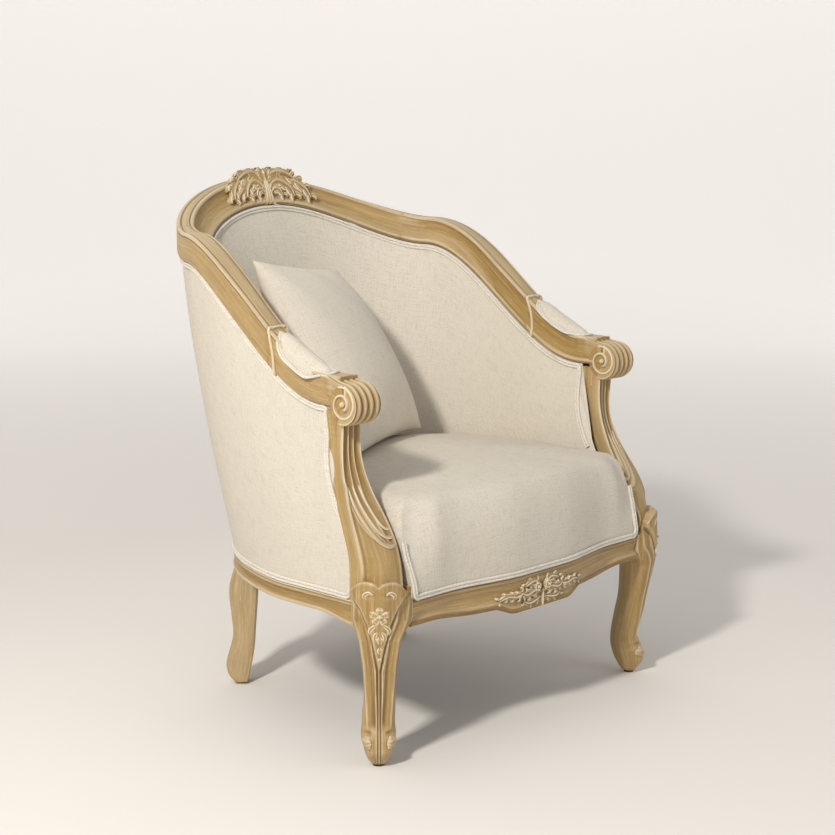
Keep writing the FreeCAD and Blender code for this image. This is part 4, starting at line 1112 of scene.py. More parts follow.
@dataclass
class ArmPost:
    """Reeded arm post that sweeps out to the knee, with a tongue at its foot.

    The reeds run straight down to reed_end, and curve across from there to the tongue's tip.
    """
    post: Post
    tongue: float = 350.0
    reed_end: float = 440.0
    reed_depth: float = 3.4
    hollow_depth: float = 2.4
    foot: float = 264.0
    head: float = 551.0

    def front(self, u: float, z: float) -> float:
        """Relief of the front face.

        Args:
            u: place across the face, 0 at its inner edge and 1 at its outer one.
            z: height.
        Returns:
            How far the wood stands out of the plain face.
        """
        drop = self.reed_end - z
        fall = max(0.0, min(1.0, drop / (self.reed_end - self.tongue)))
        low, high = 0.09, 0.91
        tip = math.sqrt(max(0.0, 1 - fall ** 2.2))
        high = low + 0.06 + (high - low - 0.06) * tip
        edge = 1.9 * (bell(u, 0.035, 0.035) + bell(u, 0.965, 0.035))
        if z < self.tongue or u > high or u < low:
            rim = 2.0 * bell(u, high, 0.05) if z > self.tongue and drop > 0 and u > high else 0.0
            hollow = self.hollow_depth * smoothstep(drop / 60) * math.sin(math.pi * u) ** 0.7
            return edge - hollow + rim
        s = (u - low) / (high - low)
        reeds = abs(math.sin(3 * math.pi * s)) ** 0.8
        return edge - self.reed_depth * reeds * min(1.0, (high - low) / 0.3)

    def plane(self, z: float) -> tuple[np.ndarray, np.ndarray, np.ndarray]:
        """Inner corner, width and outward direction of the plain front face at a height.

        Args:
            z: height.
        Returns:
            The three of them.
        """
        inner, outer = self.post.corners(max(z, POST_FOOT))
        chord = outer - inner
        return inner, chord, np.array([chord[1], -chord[0]]) / np.hypot(*chord)

    def bulge(self, u: float, z: float) -> float:
        """How far the face swells towards the knee."""
        return 14 * float(smoothstep((420 - z) / 130)) * (1 - (2 * u - 1) ** 2)

    def patch(self) -> Patch:
        """The post.

        Returns:
            The patch.
        """
        rows = []
        across = np.concatenate([[0, 0.015, 0.035, 0.06, 0.085], np.linspace(0.11, 0.89, 44),
                                 [0.915, 0.94, 0.965, 0.985, 1]])
        for z in np.linspace(self.foot, self.head, 140):
            inner, chord, normal = self.plane(z)
            outer = self.post.corners(max(z, POST_FOOT))[1]
            row = []
            for u in across:
                lift = self.front(float(u), float(z)) + self.bulge(u, z)
                place = inner + chord * u + normal * lift
                row.append((place[0], place[1], z))
            spread = 10 * (1 - (z - self.post.foot) / self.post.height)
            back_o = (outer[0] - 0.5 * spread, self.post.back(z, True))
            back_i = (inner[0] + spread, self.post.back(z, False))
            row += [(outer[0] + 0.2, outer[1] + 4, z),
                    (outer[0] - 0.25 * spread, 0.5 * (outer[1] + back_o[1]), z),
                    (*back_o, z), (*back_i, z), (inner[0] + 0.4, inner[1] + 4, z)]
            rows.append(row)
        patch = lattice(np.array(rows))
        # the curls that the reeds end in
        for line, size in (([(0.86, 436), (0.74, 398), (0.53, 364), (0.3, 349), (0.04, 347)], 3.0),
                           ([(0.66, 436), (0.56, 400), (0.41, 373), (0.24, 361), (0.04, 359)], 2.6),
                           ([(0.42, 436), (0.36, 404), (0.28, 384), (0.17, 373), (0.04, 371)],
                            2.4)):
            patch.add(blade(self.on, [(u * 50, z) for u, z in line],
                            (1.2, size, size, size, size), (0.4, 2.2, 3.0, 3.0, 2.4),
                            count=40, sink=4))
        return patch

    def on(self, a: float, z: float, lift: float) -> np.ndarray:
        """Point off the front face.

        Args:
            a: place across the face, 0 at its inner edge and 50 at its outer one.
            z: height.
            lift: distance off the face.
        Returns:
            The point.
        """
        inner, chord, normal = self.plane(z)
        u = a / 50
        place = inner + chord * u + normal * (self.bulge(u, z) + lift - 1.2)
        return np.array([place[0], place[1], z])

    def build(self, shop: Workshop) -> None:
        """Make both posts.

        Args:
            shop: makes the pieces.
        """
        patch = self.patch()
        shop.piece("arm_post_right", patch, OAK, ["right_arm_post"])
        shop.piece("arm_post_left", patch.mirrored(), OAK, ["left_arm_post"])


# height, the leg's middle along the diagonal, half its depth along it and half its width
# across it, all in mm
LEG_ROWS = np.array([
    (4, 0, 11, 11), (12, 0, 18, 17), (27, 0, 26, 23), (44, -4, 28, 27), (54, -7, 27, 27),
    (66, -10, 24, 26), (80, -9, 24, 26), (107, -4, 25, 27), (144, 3, 25, 28), (185, 8, 28, 33),
    (228, 11, 32, 40), (240, 11, 32, 42), (300, 11, 32, 42)], float)
LEG_LINE = spline(LEG_ROWS, 240)


@dataclass
class FrontLeg:
    """Carved cabriole leg with its knee block, set on the diagonal.

    Its places are a side place w, across the diagonal from the leg's middle, and a height z.
    """
    centre: tuple[float, float] = (323.0, -300.0)
    columns: int = 150
    foot: float = 4.0
    lobe_start: float = 252.0

    def __post_init__(self) -> None:
        """Measure the knee block's outline once."""
        self.knee = self.knee_outline()

    def knee_outline(self) -> np.ndarray:
        """Plan of the knee block about the leg's middle.

        Returns:
            A row of angles from the diagonal, over three turns, and a row of radii.
        """
        arc = spline([(287, -340), (320, -345), (350, -333), (362, -303), (357, -276)], 40)
        corners = np.vstack([arc, [(340, -274), (301, -276), (287, -290)]])
        dense = []
        for a, b in zip(corners, np.roll(corners, -1, axis=0)):
            dense.extend(a + (b - a) * t for t in np.linspace(0, 1, 8, endpoint=False))
        local = np.array(dense) - np.array(self.centre)
        out = (local[:, 0] - local[:, 1]) / math.sqrt(2)
        side = (local[:, 0] + local[:, 1]) / math.sqrt(2)
        angles = np.arctan2(side, out)
        order = np.argsort(angles)
        angles, radii = angles[order], np.hypot(out, side)[order]
        turn = 2 * math.pi
        return np.stack([np.concatenate([angles - turn, angles, angles + turn]),
                         np.concatenate([radii, radii, radii])])

    def shield(self, w: float, z: float) -> float:
        """How far inside the knee's lobed shield a place is, in millimetres, negative outside.

        Args:
            w: side place.
            z: height.
        Returns:
            The distance.
        """
        heights = (159, 177, 198, 218, 237, 259, 270, 277, 306)
        wide = float(np.interp(z, heights, (0, 3.5, 7.5, 12, 18, 28, 36, 41, 44)))
        return min((wide - abs(w + 1)) * 0.85, self.lobes(w) - z)

    def lobes(self, w: float) -> float:
        """Height of the shield's lobed top edge: two humps with a notch between them.

        Args:
            w: side place.
        Returns:
            The height.
        """
        peak, off_hump = 303, abs(w + 1) - 20
        shoulders = 0.042 * max(off_hump, 0) ** 2
        valley = 0.012 * min(off_hump, 0) ** 2
        return peak - shoulders - valley - 3.0 * float(bell(w, -1, 4))

    def relief(self, w: float, z: float) -> float:
        """Carved relief of the front.

        Args:
            w: side place.
            z: height.
        Returns:
            How far the wood stands out of the plain leg.
        """
        lift = 0.0
        inside = self.shield(w, z)
        # a bead, a cove and a fillet along both edges
        heights = (40, 80, 168, 210, 240, 291)
        left = np.interp(z, heights, (18, 19, 25, 31, 44, 50))
        right = np.interp(z, heights, (17, 17, 21, 27, 36, 36))
        open_part = float(smoothstep((-inside - 1) / 3))
        if z > 56:
            ease = float(smoothstep((z - 56) / 20)) * open_part
            for edge in (-left, right):
                inward = -1 if edge > 0 else 1
                lift += ease * (2.2 * bell(w, edge, 2.0) - 3.4 * bell(w, edge + inward * 8.5, 5.2)
                                + 1.0 * bell(w, edge + inward * 15, 1.5))
        # three reeds down the middle
        if z < 235:
            fade = float(smoothstep((235 - z) / 30)) * open_part
            gap = np.interp(z, (10, 50, 160, 230), (3.0, 3.6, 5.0, 15.0))
            for line in (-gap - 1, -1, gap - 1):
                lift += fade * 2.3 * bell(w, line, 1.5)
        # the shield, with a groove round it
        lift += 2.6 * float(smoothstep((inside + 0.8) / 2.2)) - 2.2 * float(bell(inside, -2.6, 1.6))
        # hollows at the toes and in the shield's upper corners
        for line in (-18, 18):
            lift -= 3.4 * float(bell(math.hypot((w - line) / 7, (z - 56) / 4.5), 0, 1.0))
            lift -= 1.6 * float(bell(math.hypot((w - line) / 9, (z - 42) / 12), 0, 1.1))
        for line in (-17, 15):
            lift -= 2.0 * float(bell(math.hypot((w - line) / 9, (z - 284) / 5), 0, 0.8))
        return lift

    def radius(self, angle: float, z: float) -> tuple[float, float]:
        """Place of the plain skin.

        Args:
            angle: angle from the diagonal.
            z: height.
        Returns:
            Distance of the skin from the leg's middle, and the middle's own offset.
        """
        offset, ahead, aside = (float(np.interp(z, LEG_LINE[:, 0], LEG_LINE[:, k]))
                                for k in (1, 2, 3))
        power = 2.5
        if angle > 0:
            aside *= 1 - 0.16 * float(smoothstep((z - 70) / 40))
        leg = (abs(math.cos(angle) / ahead) ** power
               + abs(math.sin(angle) / aside) ** power) ** (-1 / power)
        knee = float(np.interp(angle, *self.knee))
        blend = float(smoothstep((z - 200) / 42)) ** 1.4
        offset *= 1 - blend
        return leg * (1 - blend) + knee * blend, offset

    def place(self, radius: float, offset: float, angle: float, z: float) -> np.ndarray:
        """Point at a distance and an angle from the leg's middle.

        Args:
            radius: distance from the leg's middle.
            offset: the middle's own offset.
            angle: angle from the diagonal.
            z: height.
        Returns:
            The point.
        """
        out, side = offset + radius * math.cos(angle), radius * math.sin(angle)
        return np.array([self.centre[0] + DIAGONAL * (out + side),
                         self.centre[1] + DIAGONAL * (side - out), z])

    def skin(self, angle: float, z: float) -> np.ndarray:
        """Point of the carved skin at an angle from the diagonal and a height.

        Args:
            angle: angle from the diagonal.
            z: height.
        Returns:
            The point.
        """
        radius, offset = self.radius(angle, z)
        front = float(smoothstep((math.cos(angle) + 0.15) / 0.4))
        side = radius * math.sin(angle)
        if z > self.lobe_start:
            # the block's top is drawn up and down to follow the lobes
            reach = float(smoothstep((math.cos(angle) + 0.62) / 0.3))
            rise = (z - self.lobe_start) / (POST_FOOT - self.lobe_start)
            z += rise * reach * (max(self.lobes(side), 266) - POST_FOOT)
        radius += front * self.relief(side, z)
        return self.place(radius, offset, angle, z)

    def on(self, w: float, z: float, lift: float) -> np.ndarray:
        """Point off the plain front.

        Args:
            w: side place.
            z: height.
            lift: distance off the wood.
        Returns:
            The point.
        """
        angle, widest = 0.0, 0.95
        for _ in range(4):
            radius, offset = self.radius(angle, z)
            angle = math.asin(max(-widest, min(widest, w / radius)))
        return self.place(radius + (lift + 1.6), offset, angle, z)

    def carving(self) -> Patch:
        """Flower, leaves, curls and bell drops on the knee.

        Returns:
            The patch.
        """
        patch = Patch()
        cx, cz = -2.0, 250.0
        for k in range(5):
            a = math.radians(90 + 72 * k)
            line = [(cx + r * math.cos(a), cz + r * math.sin(a)) for r in (2.5, 7, 12, 15.5)]
            patch.add(blade(self.on, line, (2.2, 5.4, 6.4, 2.6), (1.6, 3.4, 4.2, 1.4), ribs=1))
        dome = [(cx - 4.4, cz), (cx, cz + 0.1), (cx + 4.4, cz)]
        patch.add(blade(self.on, dome, (1.5, 4.6, 1.5), (4.0, 6.4, 4.0)))
        for side in (-1, 1):
            for line in ([(2, 237), (9, 234), (14, 227), (10, 220)],
                         [(1, 228), (6, 222), (7, 214), (3, 209)],
                         [(10, 283), (16, 286), (22, 281), (20, 274)]):
                patch.add(blade(self.on, [(cx + side * a, b) for a, b in line],
                                (1.2, 3.4, 3.4, 1.0), (1.0, 2.6, 2.8, 0.8), ribs=1))
            bottom = [(side * 17.5 - 1, 53), (side * 18.5 - 1, 43), (side * 15 - 1, 33)]
            patch.add(blade(self.on, bottom, (1.5, 6.4, 6.6, 1.5), (0.3, 3.0, 2.8, 0.3), count=26))
        for z, size in ((212, 5.4), (195, 4.8), (180, 3.0)):
            line = [(cx, z + size * 1.5), (cx, z), (cx, z - size * 1.4)]
            patch.add(blade(self.on, line, (1.2, size, size * 0.8, 1.0), (1.2, 3.2, 3.0, 0.8),
                            ribs=1))
        return patch

    def patch(self) -> Patch:
        """The leg, with more rows where it is carved.

        Returns:
            The patch.
        """
        angles = np.linspace(-math.pi, math.pi, self.columns, endpoint=False)
        heights = np.concatenate([np.linspace(self.foot, 62, 36), np.linspace(64, 160, 44),
                                  np.linspace(162, POST_FOOT, 84)])
        rows = [[self.skin(a, z) for a in angles] for z in heights]
        return lattice(np.array(rows)).add(self.carving())

    def build(self, shop: Workshop) -> None:
        """Make both front legs.

        Args:
            shop: makes the pieces.
        """
        patch = self.patch()
        shop.piece("front_leg_right", patch, OAK, ["right_front_leg"], angle=50)
        shop.piece("front_leg_left", patch.mirrored(), OAK, ["left_front_leg"], angle=50)


@dataclass
class RearLeg:
    """Plain rear cabriole leg sawn from a plank: rows of height, outer edge and inner edge."""
    rows: tuple = ((4, 13, -9), (20, 25, -13), (40, 28, -17), (66, 21, -21), (94, 15, -23),
                   (131, 18, -26), (173, 21, -29), (208, 13, -31), (RAIL_FOOT, 5, -35))
    corner: tuple[float, float] = (196.0, 163.5)
    half: float = 19.0
    ease: float = 2.2

    def build(self, shop: Workshop) -> None:
        """Make both rear legs.

        Args:
            shop: makes the pieces.
        """
        table = np.array(self.rows, float)
        line = spline(table, 60)
        half, ease = self.half, self.ease
        rows = []
        for z, outer, inner in line:
            row = []
            for reach, side in ((outer, -half + ease), (outer, half - ease), (outer - ease, half),
                                (inner + ease, half), (inner, half - ease), (inner, -half + ease),
                                (inner + ease, -half), (outer - ease, -half)):
                row.append((self.corner[0] + DIAGONAL * (reach - side),
                            self.corner[1] + DIAGONAL * (reach + side), min(z, RAIL_FOOT)))
            rows.append(row)
        patch = lattice(np.array(rows))
        shop.piece("rear_leg_right", patch, OAK, ["right_rear_leg"], angle=30)
        shop.piece("rear_leg_left", patch.mirrored(), OAK, ["left_rear_leg"], angle=30)


@dataclass
class SeatRails:
    """Moulded seat rails and the carved front rail."""
    plan: TubPlan
    joint_path: float = 226.0
    front_y: float = -276.0
    flare: float = 11.0
    flare_run: float = 85.0
    rebate: float = 4.0
    side_depth: float = 34.0
    half_front: float = 290.0
    front_back_y: float = -304.0

    def face(self, x: float) -> float:
        """Y of the front rail's face."""
        return -APRON_BOW + 22 * float(smoothstep((abs(x) - 50) / 160))

    def bottom(self, x: float) -> float:
        """Underside of the front rail."""
        drop = 13 * float(smoothstep((abs(x) - 66) / 44))
        return 201 + drop + 8 * float(smoothstep((abs(x) - 150) / 100))

    def on(self, x: float, z: float, lift: float) -> np.ndarray:
        """Point on the front rail's face."""
        return np.array([x, self.face(x) - lift + 1.5, z])

    def moulding(self, low: float, high: float, bead: float) -> list[tuple[float, float]]:
        """Section of a rail's face: bead, cove and bead.

        Args:
            low: height of the underside.
            high: height of the top edge.
            bead: width of each bead.
        Returns:
            Places off the face and heights, from the underside up.
        """
        tall = high - low
        points = [(-2.0, low), (0.4, low + 0.6), (1.6, low + bead * 0.4), (1.6, low + bead * 0.75),
                  (0.4, low + bead), (-0.8, low + bead + 0.8)]
        for t in (0.15, 0.3, 0.45, 0.6, 0.75, 0.9):
            points.append((-0.8 - 3.6 * math.sin(math.pi * t),
                           low + bead + 0.8 + (tall - 2 * bead - 4) * t))
        points += [(-0.6, high - bead - 2.4), (0.9, high - bead - 1.6), (1.3, high - bead * 0.75),
                   (0.4, high - bead * 0.45), (1.0, high - bead * 0.3), (0.9, high - 0.8),
                   (-0.6, high)]
        return points

    def curved(self, start: float, stop: float, flared: bool) -> Patch:
        """A rail under the tub.

        Args:
            start: path where it begins.
            stop: path where it ends.
            flared: its underside drops towards the front leg.
        Returns:
            The patch.
        """
        rows = []
        for path in np.linspace(start, stop, 90):
            face, flare = -self.plan.lean(path), 0.0
            if flared:
                flare = self.flare * float(
                    smoothstep((path - stop + self.flare_run) / self.flare_run))
            foot, inner = RAIL_FOOT - flare, face - self.side_depth
            section = [(face + lift, z) for lift, z in self.moulding(foot, RAIL_FACE_TOP, 6)]
            section += [(face - self.rebate, RAIL_FACE_TOP), (face - self.rebate, RAIL_TOP),
                        (inner, RAIL_TOP), (inner, foot)]
            rows.append([self.plan.at(path, out, z) for out, z in section])
        return lattice(np.array(rows))

    def front(self) -> Patch:
        """The bowed front rail before it is carved.

        Returns:
            The patch.
        """
        rows = []
        for x in np.linspace(-self.half_front, self.half_front, 150):
            face, inner = self.face(x), self.front_back_y
            section = [(face - lift, z)
                       for lift, z in self.moulding(self.bottom(x), RAIL_FACE_TOP, 8)]
            section += [(face + self.rebate, RAIL_FACE_TOP), (face + self.rebate, RAIL_TOP),
                        (inner, RAIL_TOP), (inner, self.bottom(x))]
            rows.append([(x, y, z) for y, z in section])
        return lattice(np.array(rows))

    def build(self, shop: Workshop) -> None:
        """Make the rails.

        Args:
            shop: makes the pieces.
        """
        side = self.curved(self.joint_path, self.plan.path_at_y(self.front_y), True)
        shop.piece("side_rail_right", side, OAK, ["right_side_rail"])
        shop.piece("side_rail_left", side.mirrored(), OAK, ["left_side_rail"])
        back = self.curved(-self.joint_path, self.joint_path, False)
        shop.piece("back_rail_moulding", back, OAK, ["back_rail"])
        shop.piece("front_rail_carved", self.front().add(self.carving()), OAK, ["front_rail"])

    def carving(self) -> Patch:
        """Leaves, two flowers and a stem in the middle of the front rail.

        Returns:
            The patch.
        """
        patch = Patch()
        for hand in (-1, 1):
            for line, width, height, lobes in (
                    ([(4, 226), (20, 231), (40, 227), (54, 233)], 7.5, 5.5, 3),
                    ([(44, 232), (64, 228), (84, 231), (104, 226)], 6.0, 4.5, 4),
                    ([(4, 218), (18, 214), (34, 212), (48, 217)], 5.5, 4.5, 3),
                    ([(8, 238), (20, 247), (34, 245), (44, 240)], 6.5, 5.0, 3)):
                leaf = [(hand * a, b) for a, b in line]
                patch.add(acanthus(self.on, leaf, width, height, lobes))
            centre = hand * 13.0
            for k in range(5):
                turn = math.radians(72 * k + 90)
                line = [(centre + r * math.cos(turn), 236 + r * math.sin(turn))
                        for r in (1.5, 5.5, 10.0)]
                patch.add(blade(self.on, line, (2, 4.4, 1.8), (4, 8, 3.5), ribs=1))
            patch.add(blade(self.on, [(centre - 3.4, 236), (centre, 236.1), (centre + 3.4, 236)],
                            (1.4, 3.6, 1.4), (6, 9.0, 6)))
        return patch.add(blade(self.on, [(-1, 202), (0, 214), (0, 230)], (3.4, 2.6, 2.2),
                               (4.5, 5.0, 5.0)))


@dataclass
class Covers:
    """Inside and outside covers with their double welts."""
    plan: TubPlan
    post: Post
    thickness: float = 2.0
    first_height: float = 500.0
    cord: float = 2.5

    def edge_path(self, z: float, outside: bool) -> float:
        """Path length of the cover's front edge at a height, at the post's back."""
        return self.plan.path_at_y(self.post.back(z, outside) + 1.0)

    def sheet_patch(self, inside: bool) -> Patch:
        """Closed skin of one cover, its face and its back, with faint soft waves.

        Args:
            inside: the inside cover, or else the outside one.
        Returns:
            The patch.
        """
        rows = []
        bottom = self.plan.deck if inside else self.plan.outside_bottom + 0.5
        for s in np.linspace(-1, 1, 221):
            row_face, row_back = [], []
            for share in np.linspace(0, 1, 34):
                # the edge follows the post, whose place depends on the height
                z = self.first_height
                for _ in range(3):
                    path = s * self.edge_path(z, not inside)
                    top = self.plan.wall_top(path)
                    z = top + (bottom - top) * share
                soft = 0.5 * math.sin(path / 61) * math.sin(z / 47)
                row_face.append(self.plan.wall_point(path, z, inside, soft))
                row_back.append(self.plan.wall_point(path, z, inside, -self.thickness))
            rows.append(row_face + row_back[::-1])
        return lattice(np.array(rows))

    def welt(self, places: list[tuple[float, float]], inside: bool, count: int,
             closed: bool) -> Patch:
        """Double welt on a cover.

        Args:
            places: the places that it runs through, as path and height.
            inside: it lies on the inside cover, or else on the outside one.
            count: number of points along it.
            closed: it returns to its start.
        Returns:
            The patch.
        """
        route = spline(places, count)
        points = np.array([self.plan.wall_point(p, z, inside, 1.6) for p, z in route])
        lifted = np.array([self.plan.wall_point(p, z, inside, 6.0) for p, z in route])
        across = np.cross(np.gradient(points, axis=0), lifted - points)
        if closed:
            return double_cord(points[:-1], across[:-1], self.cord, True)
        return double_cord(points, across, self.cord)

    def build(self, shop: Workshop) -> None:
        """Make the covers and welts.

        Args:
            shop: makes the pieces.
        """
        shop.piece("inside_cover_linen", self.sheet_patch(True), LINEN,
                   ["inside_cover", "inside_padding"], angle=60)
        shop.piece("outside_cover_linen", self.sheet_patch(False), LINEN, ["outside_cover"],
                   angle=60)
        end = self.plan.path_at_y(-196)
        for inside in (True, False):
            rise = [(p, self.plan.wall_top(p) - 5.5) for p in np.linspace(-end, end, 90)]
            low = 406 if inside else 268
            right = []
            for z in np.linspace(self.plan.wall_top(end) - 16, low + (4 if inside else 10), 9):
                right.append((self.plan.path_at_y(self.post.back(z, not inside) + 4.0), z))
            left = [(-p, z) for p, z in right]
            if inside:
                arch = left[::-1] + rise + right
                shop.piece("inside_double_welt", self.welt(arch, True, 620, False), WELT,
                           ["inside_welt"])
            else:
                stop = self.plan.path_at_y(self.post.back(268, True) + 12)
                base = [(p, 267.5) for p in np.linspace(stop, -stop, 60)]
                loop = left[::-1] + rise + right + base + [left[-1]]
                shop.piece("outside_double_welt", self.welt(loop, False, 900, True), WELT,
                           ["outside_welt"])


@dataclass
class Seat:
    """Domed seat, tight over its foam, with its double welt."""
    plan: TubPlan
    rails: SeatRails
    half_front: float = 285.0
    edge: float = 398.0
    crown: float = 436.0
    middle: float = -90.0
    dome_start: float = 411.0
    cord: float = 2.5

    def limit(self, path: float) -> float:
        """Innermost reach of the inside cover beside the seat.

        Args:
            path: length along the rail from the middle of the back.
        Returns:
            The distance outside the outline, which is negative.
        """
        top = self.plan.wall_top(path)
        return min(self.plan.inside(path, (top - z) / (top - self.plan.deck))
                   for z in np.linspace(self.plan.deck, self.edge + 12, 6))

    def outline(self) -> np.ndarray:
        """Plan outline of the seat.

        Returns:
            The outline's points.
        """
        end = self.plan.path_at_y(-288)
        wall = [self.plan.at(p, self.limit(p) - 0.6, 0)[:2] for p in np.linspace(-end, end, 120)]
        half = self.half_front
        front = [(x, self.rails.face(x) + 1.7) for x in np.linspace(half, -half, 90)]
        return np.vstack([wall, [(half, -303)], front, [(-half, -303)]])

    def patch(self) -> Patch:
        """The seat's skin.

        Returns:
            The patch.
        """
        base = self.outline()
        middle = np.array([0.0, self.middle])
        rows = []
        # height, how far the front swells, and size against the plan
        levels = [(264, 0, 1), (275, 1.5, 1), (300, 3.5, 1), (322, 4.5, 1), (340, 4.5, 0.999),
                  (355, 3.5, 0.996), (368, 2, 0.991), (380, 1, 0.982), (390, 0, 0.970),
                  (398, 0, 0.955), (405, 0, 0.935), (self.dome_start, 0, 0.91)]
        for share in np.linspace(0.06, 1, 24):
            dome = (self.crown - self.dome_start) * math.sin(math.pi / 2 * share) ** 0.95
            rise = self.dome_start + dome
            levels.append((rise, 0, 0.91 * (1 - share) + 0.004))
        for z, push, scale in levels:
            row = []
            for x, y in base:
                front = y < -300
                round_off = 24 * float(smoothstep((abs(x) - 222) / 62)
                                       * smoothstep((z - 266) / 105))
                ahead = push - round_off if front else 0.0
                wave = 0.0
                if z > 400:
                    wave = 0.7 * math.sin(x * scale / 55) * math.sin(y * scale / 63)
                row.append((middle[0] + (x - middle[0]) * scale,
                            middle[1] + (y - ahead - middle[1]) * scale,
                            (z if front else max(z, 290)) + wave))
            rows.append(row)
        return self.planar(lattice(np.array(rows)))

    def planar(self, patch: Patch) -> Patch:
        """The same patch with its weave laid flat from above and down the front.

        Args:
            patch: the seat's skin.
        Returns:
            The patch.
        """
        patch.places = [[(patch.points[i][0] * MM, (patch.points[i][1] + patch.points[i][2]) * MM)
                         for i in face] for face in patch.faces]
        return patch

    def welt(self) -> Patch:
        """Double welt along the front rail and up beside the posts.

        Returns:
            The patch.
        """
        half = self.half_front - 3
        front = [(x, self.rails.face(x) - 1.4, 267.0) for x in np.linspace(half - 4, -half + 4, 60)]
        right = [(half + 4.5 * float(smoothstep((z - 280) / 60)), self.rails.face(half) - 2.6
                  + 22 * float(smoothstep((z - 266) / 105)), z) for z in np.linspace(352, 276, 10)]
        left = [(-x, y, z) for x, y, z in right[::-1]]
        line = spline(right + front + left, 300)
        across = np.cross(np.gradient(line, axis=0), (0.0, -1.0, 0.0))
        return double_cord(line, across, self.cord)

    def build(self, shop: Workshop) -> None:
        """Make the seat.

        Args:
            shop: makes the pieces.
        """
        shop.piece("seat_cover_linen", self.patch(), LINEN, ["seat_cover", "seat_foam"],
                   angle=60)
        shop.piece("seat_double_welt", self.welt(), WELT, ["seat_welt"])


@dataclass
class ArmPad:
    """Manchette: padded armrest with a double welt, lipped in front."""
    plan: TubPlan
    back_y: float = -88.0
    front_y: float = -197.0
    half: float = 20.5
    tall: float = 17.0
    arm_x: float = 339.0
    cord: float = 2.1

    def half_width(self, t: float) -> float:
        """Half the pad's width from its back (0) to its lip (1)."""
        rounding = min(1.0, (1 - (1 - min(t / 0.3, 1)) ** 2) ** 0.5 * 0.99 + 0.01)
        return self.half * float(rounding * (1 - 0.55 * smoothstep((t - 0.66) / 0.34)))

    def at(self, t: float, s: float, lift: float) -> tuple[float, float, float]:
        """Point on or above the arm's top.

        Args:
            t: place along the pad, 0 at its back and 1 at its lip.
            s: place across it, in millimetres outwards from its middle.
            lift: height above the arm.
        Returns:
            The point.
        """
        y = self.back_y + (self.front_y - self.back_y) * t
        path = self.plan.path_at_y(y)
        droop = 11 * (max(s, 0.0) / self.half) ** 2 + 2.5 * (min(s, 0.0) / self.half) ** 2
        return (self.arm_x - 0.5 * self.plan.reach(path) + s, y,
                self.plan.top(path) + lift - droop)

    def build(self, shop: Workshop) -> None:
        """Make both pads and their welts.

        Args:
            shop: makes the pieces.
        """
        rows = []
        for t in np.linspace(0, 1, 40):
            w = max(self.half_width(float(t)), 0.6)
            dome = self.tall * min(1.0, math.sin(math.pi * t ** 0.8) ** 0.5 + 0.05)
            row = [self.at(float(t), w * s, -1 + (dome + 1) * (1 - abs(s) ** 2.4) ** 0.6)
                   for s in np.linspace(-1, 1, 25)]
            row += [self.at(float(t), w * 0.6, -2.0), self.at(float(t), -w * 0.6, -2.0)]
            rows.append(row)
        pad = lattice(np.array(rows))
        ring = []
        for t in np.concatenate([np.linspace(0, 0.3, 16) ** 1.6 / 0.3 ** 0.6,
                                 np.linspace(0.34, 1, 22)]):
            ring.append((t, self.half_width(float(t)) + 3.4))
        side = [self.at(t, w, 1.8) for t, w in ring]
        other = [self.at(t, -w, 1.8) for t, w in ring[::-1]]
        tip, tail = self.at(1.05, 0, 1.8), self.at(-0.045, 0, 1.8)
        loop = spline([tail] + side + [tip] + other + [tail], 220)[:-1]
        tangents = np.roll(loop, -1, axis=0) - np.roll(loop, 1, axis=0)
        welt = double_cord(loop, np.cross(tangents, (0.0, 0.0, 1.0)), self.cord, True)
        for name, source, finish, full in (("arm_pad", pad, LINEN, 0.95),
                                           ("pad_double_welt", welt, WELT, None)):
            for hand in ("right", "left"):
                shape = source if hand == "right" else source.mirrored()
                node = f"{hand}_arm_pad" if full else f"{hand}_pad_welt"
                shop.piece(f"{name}_{hand}", shape, finish, [node], angle=60)


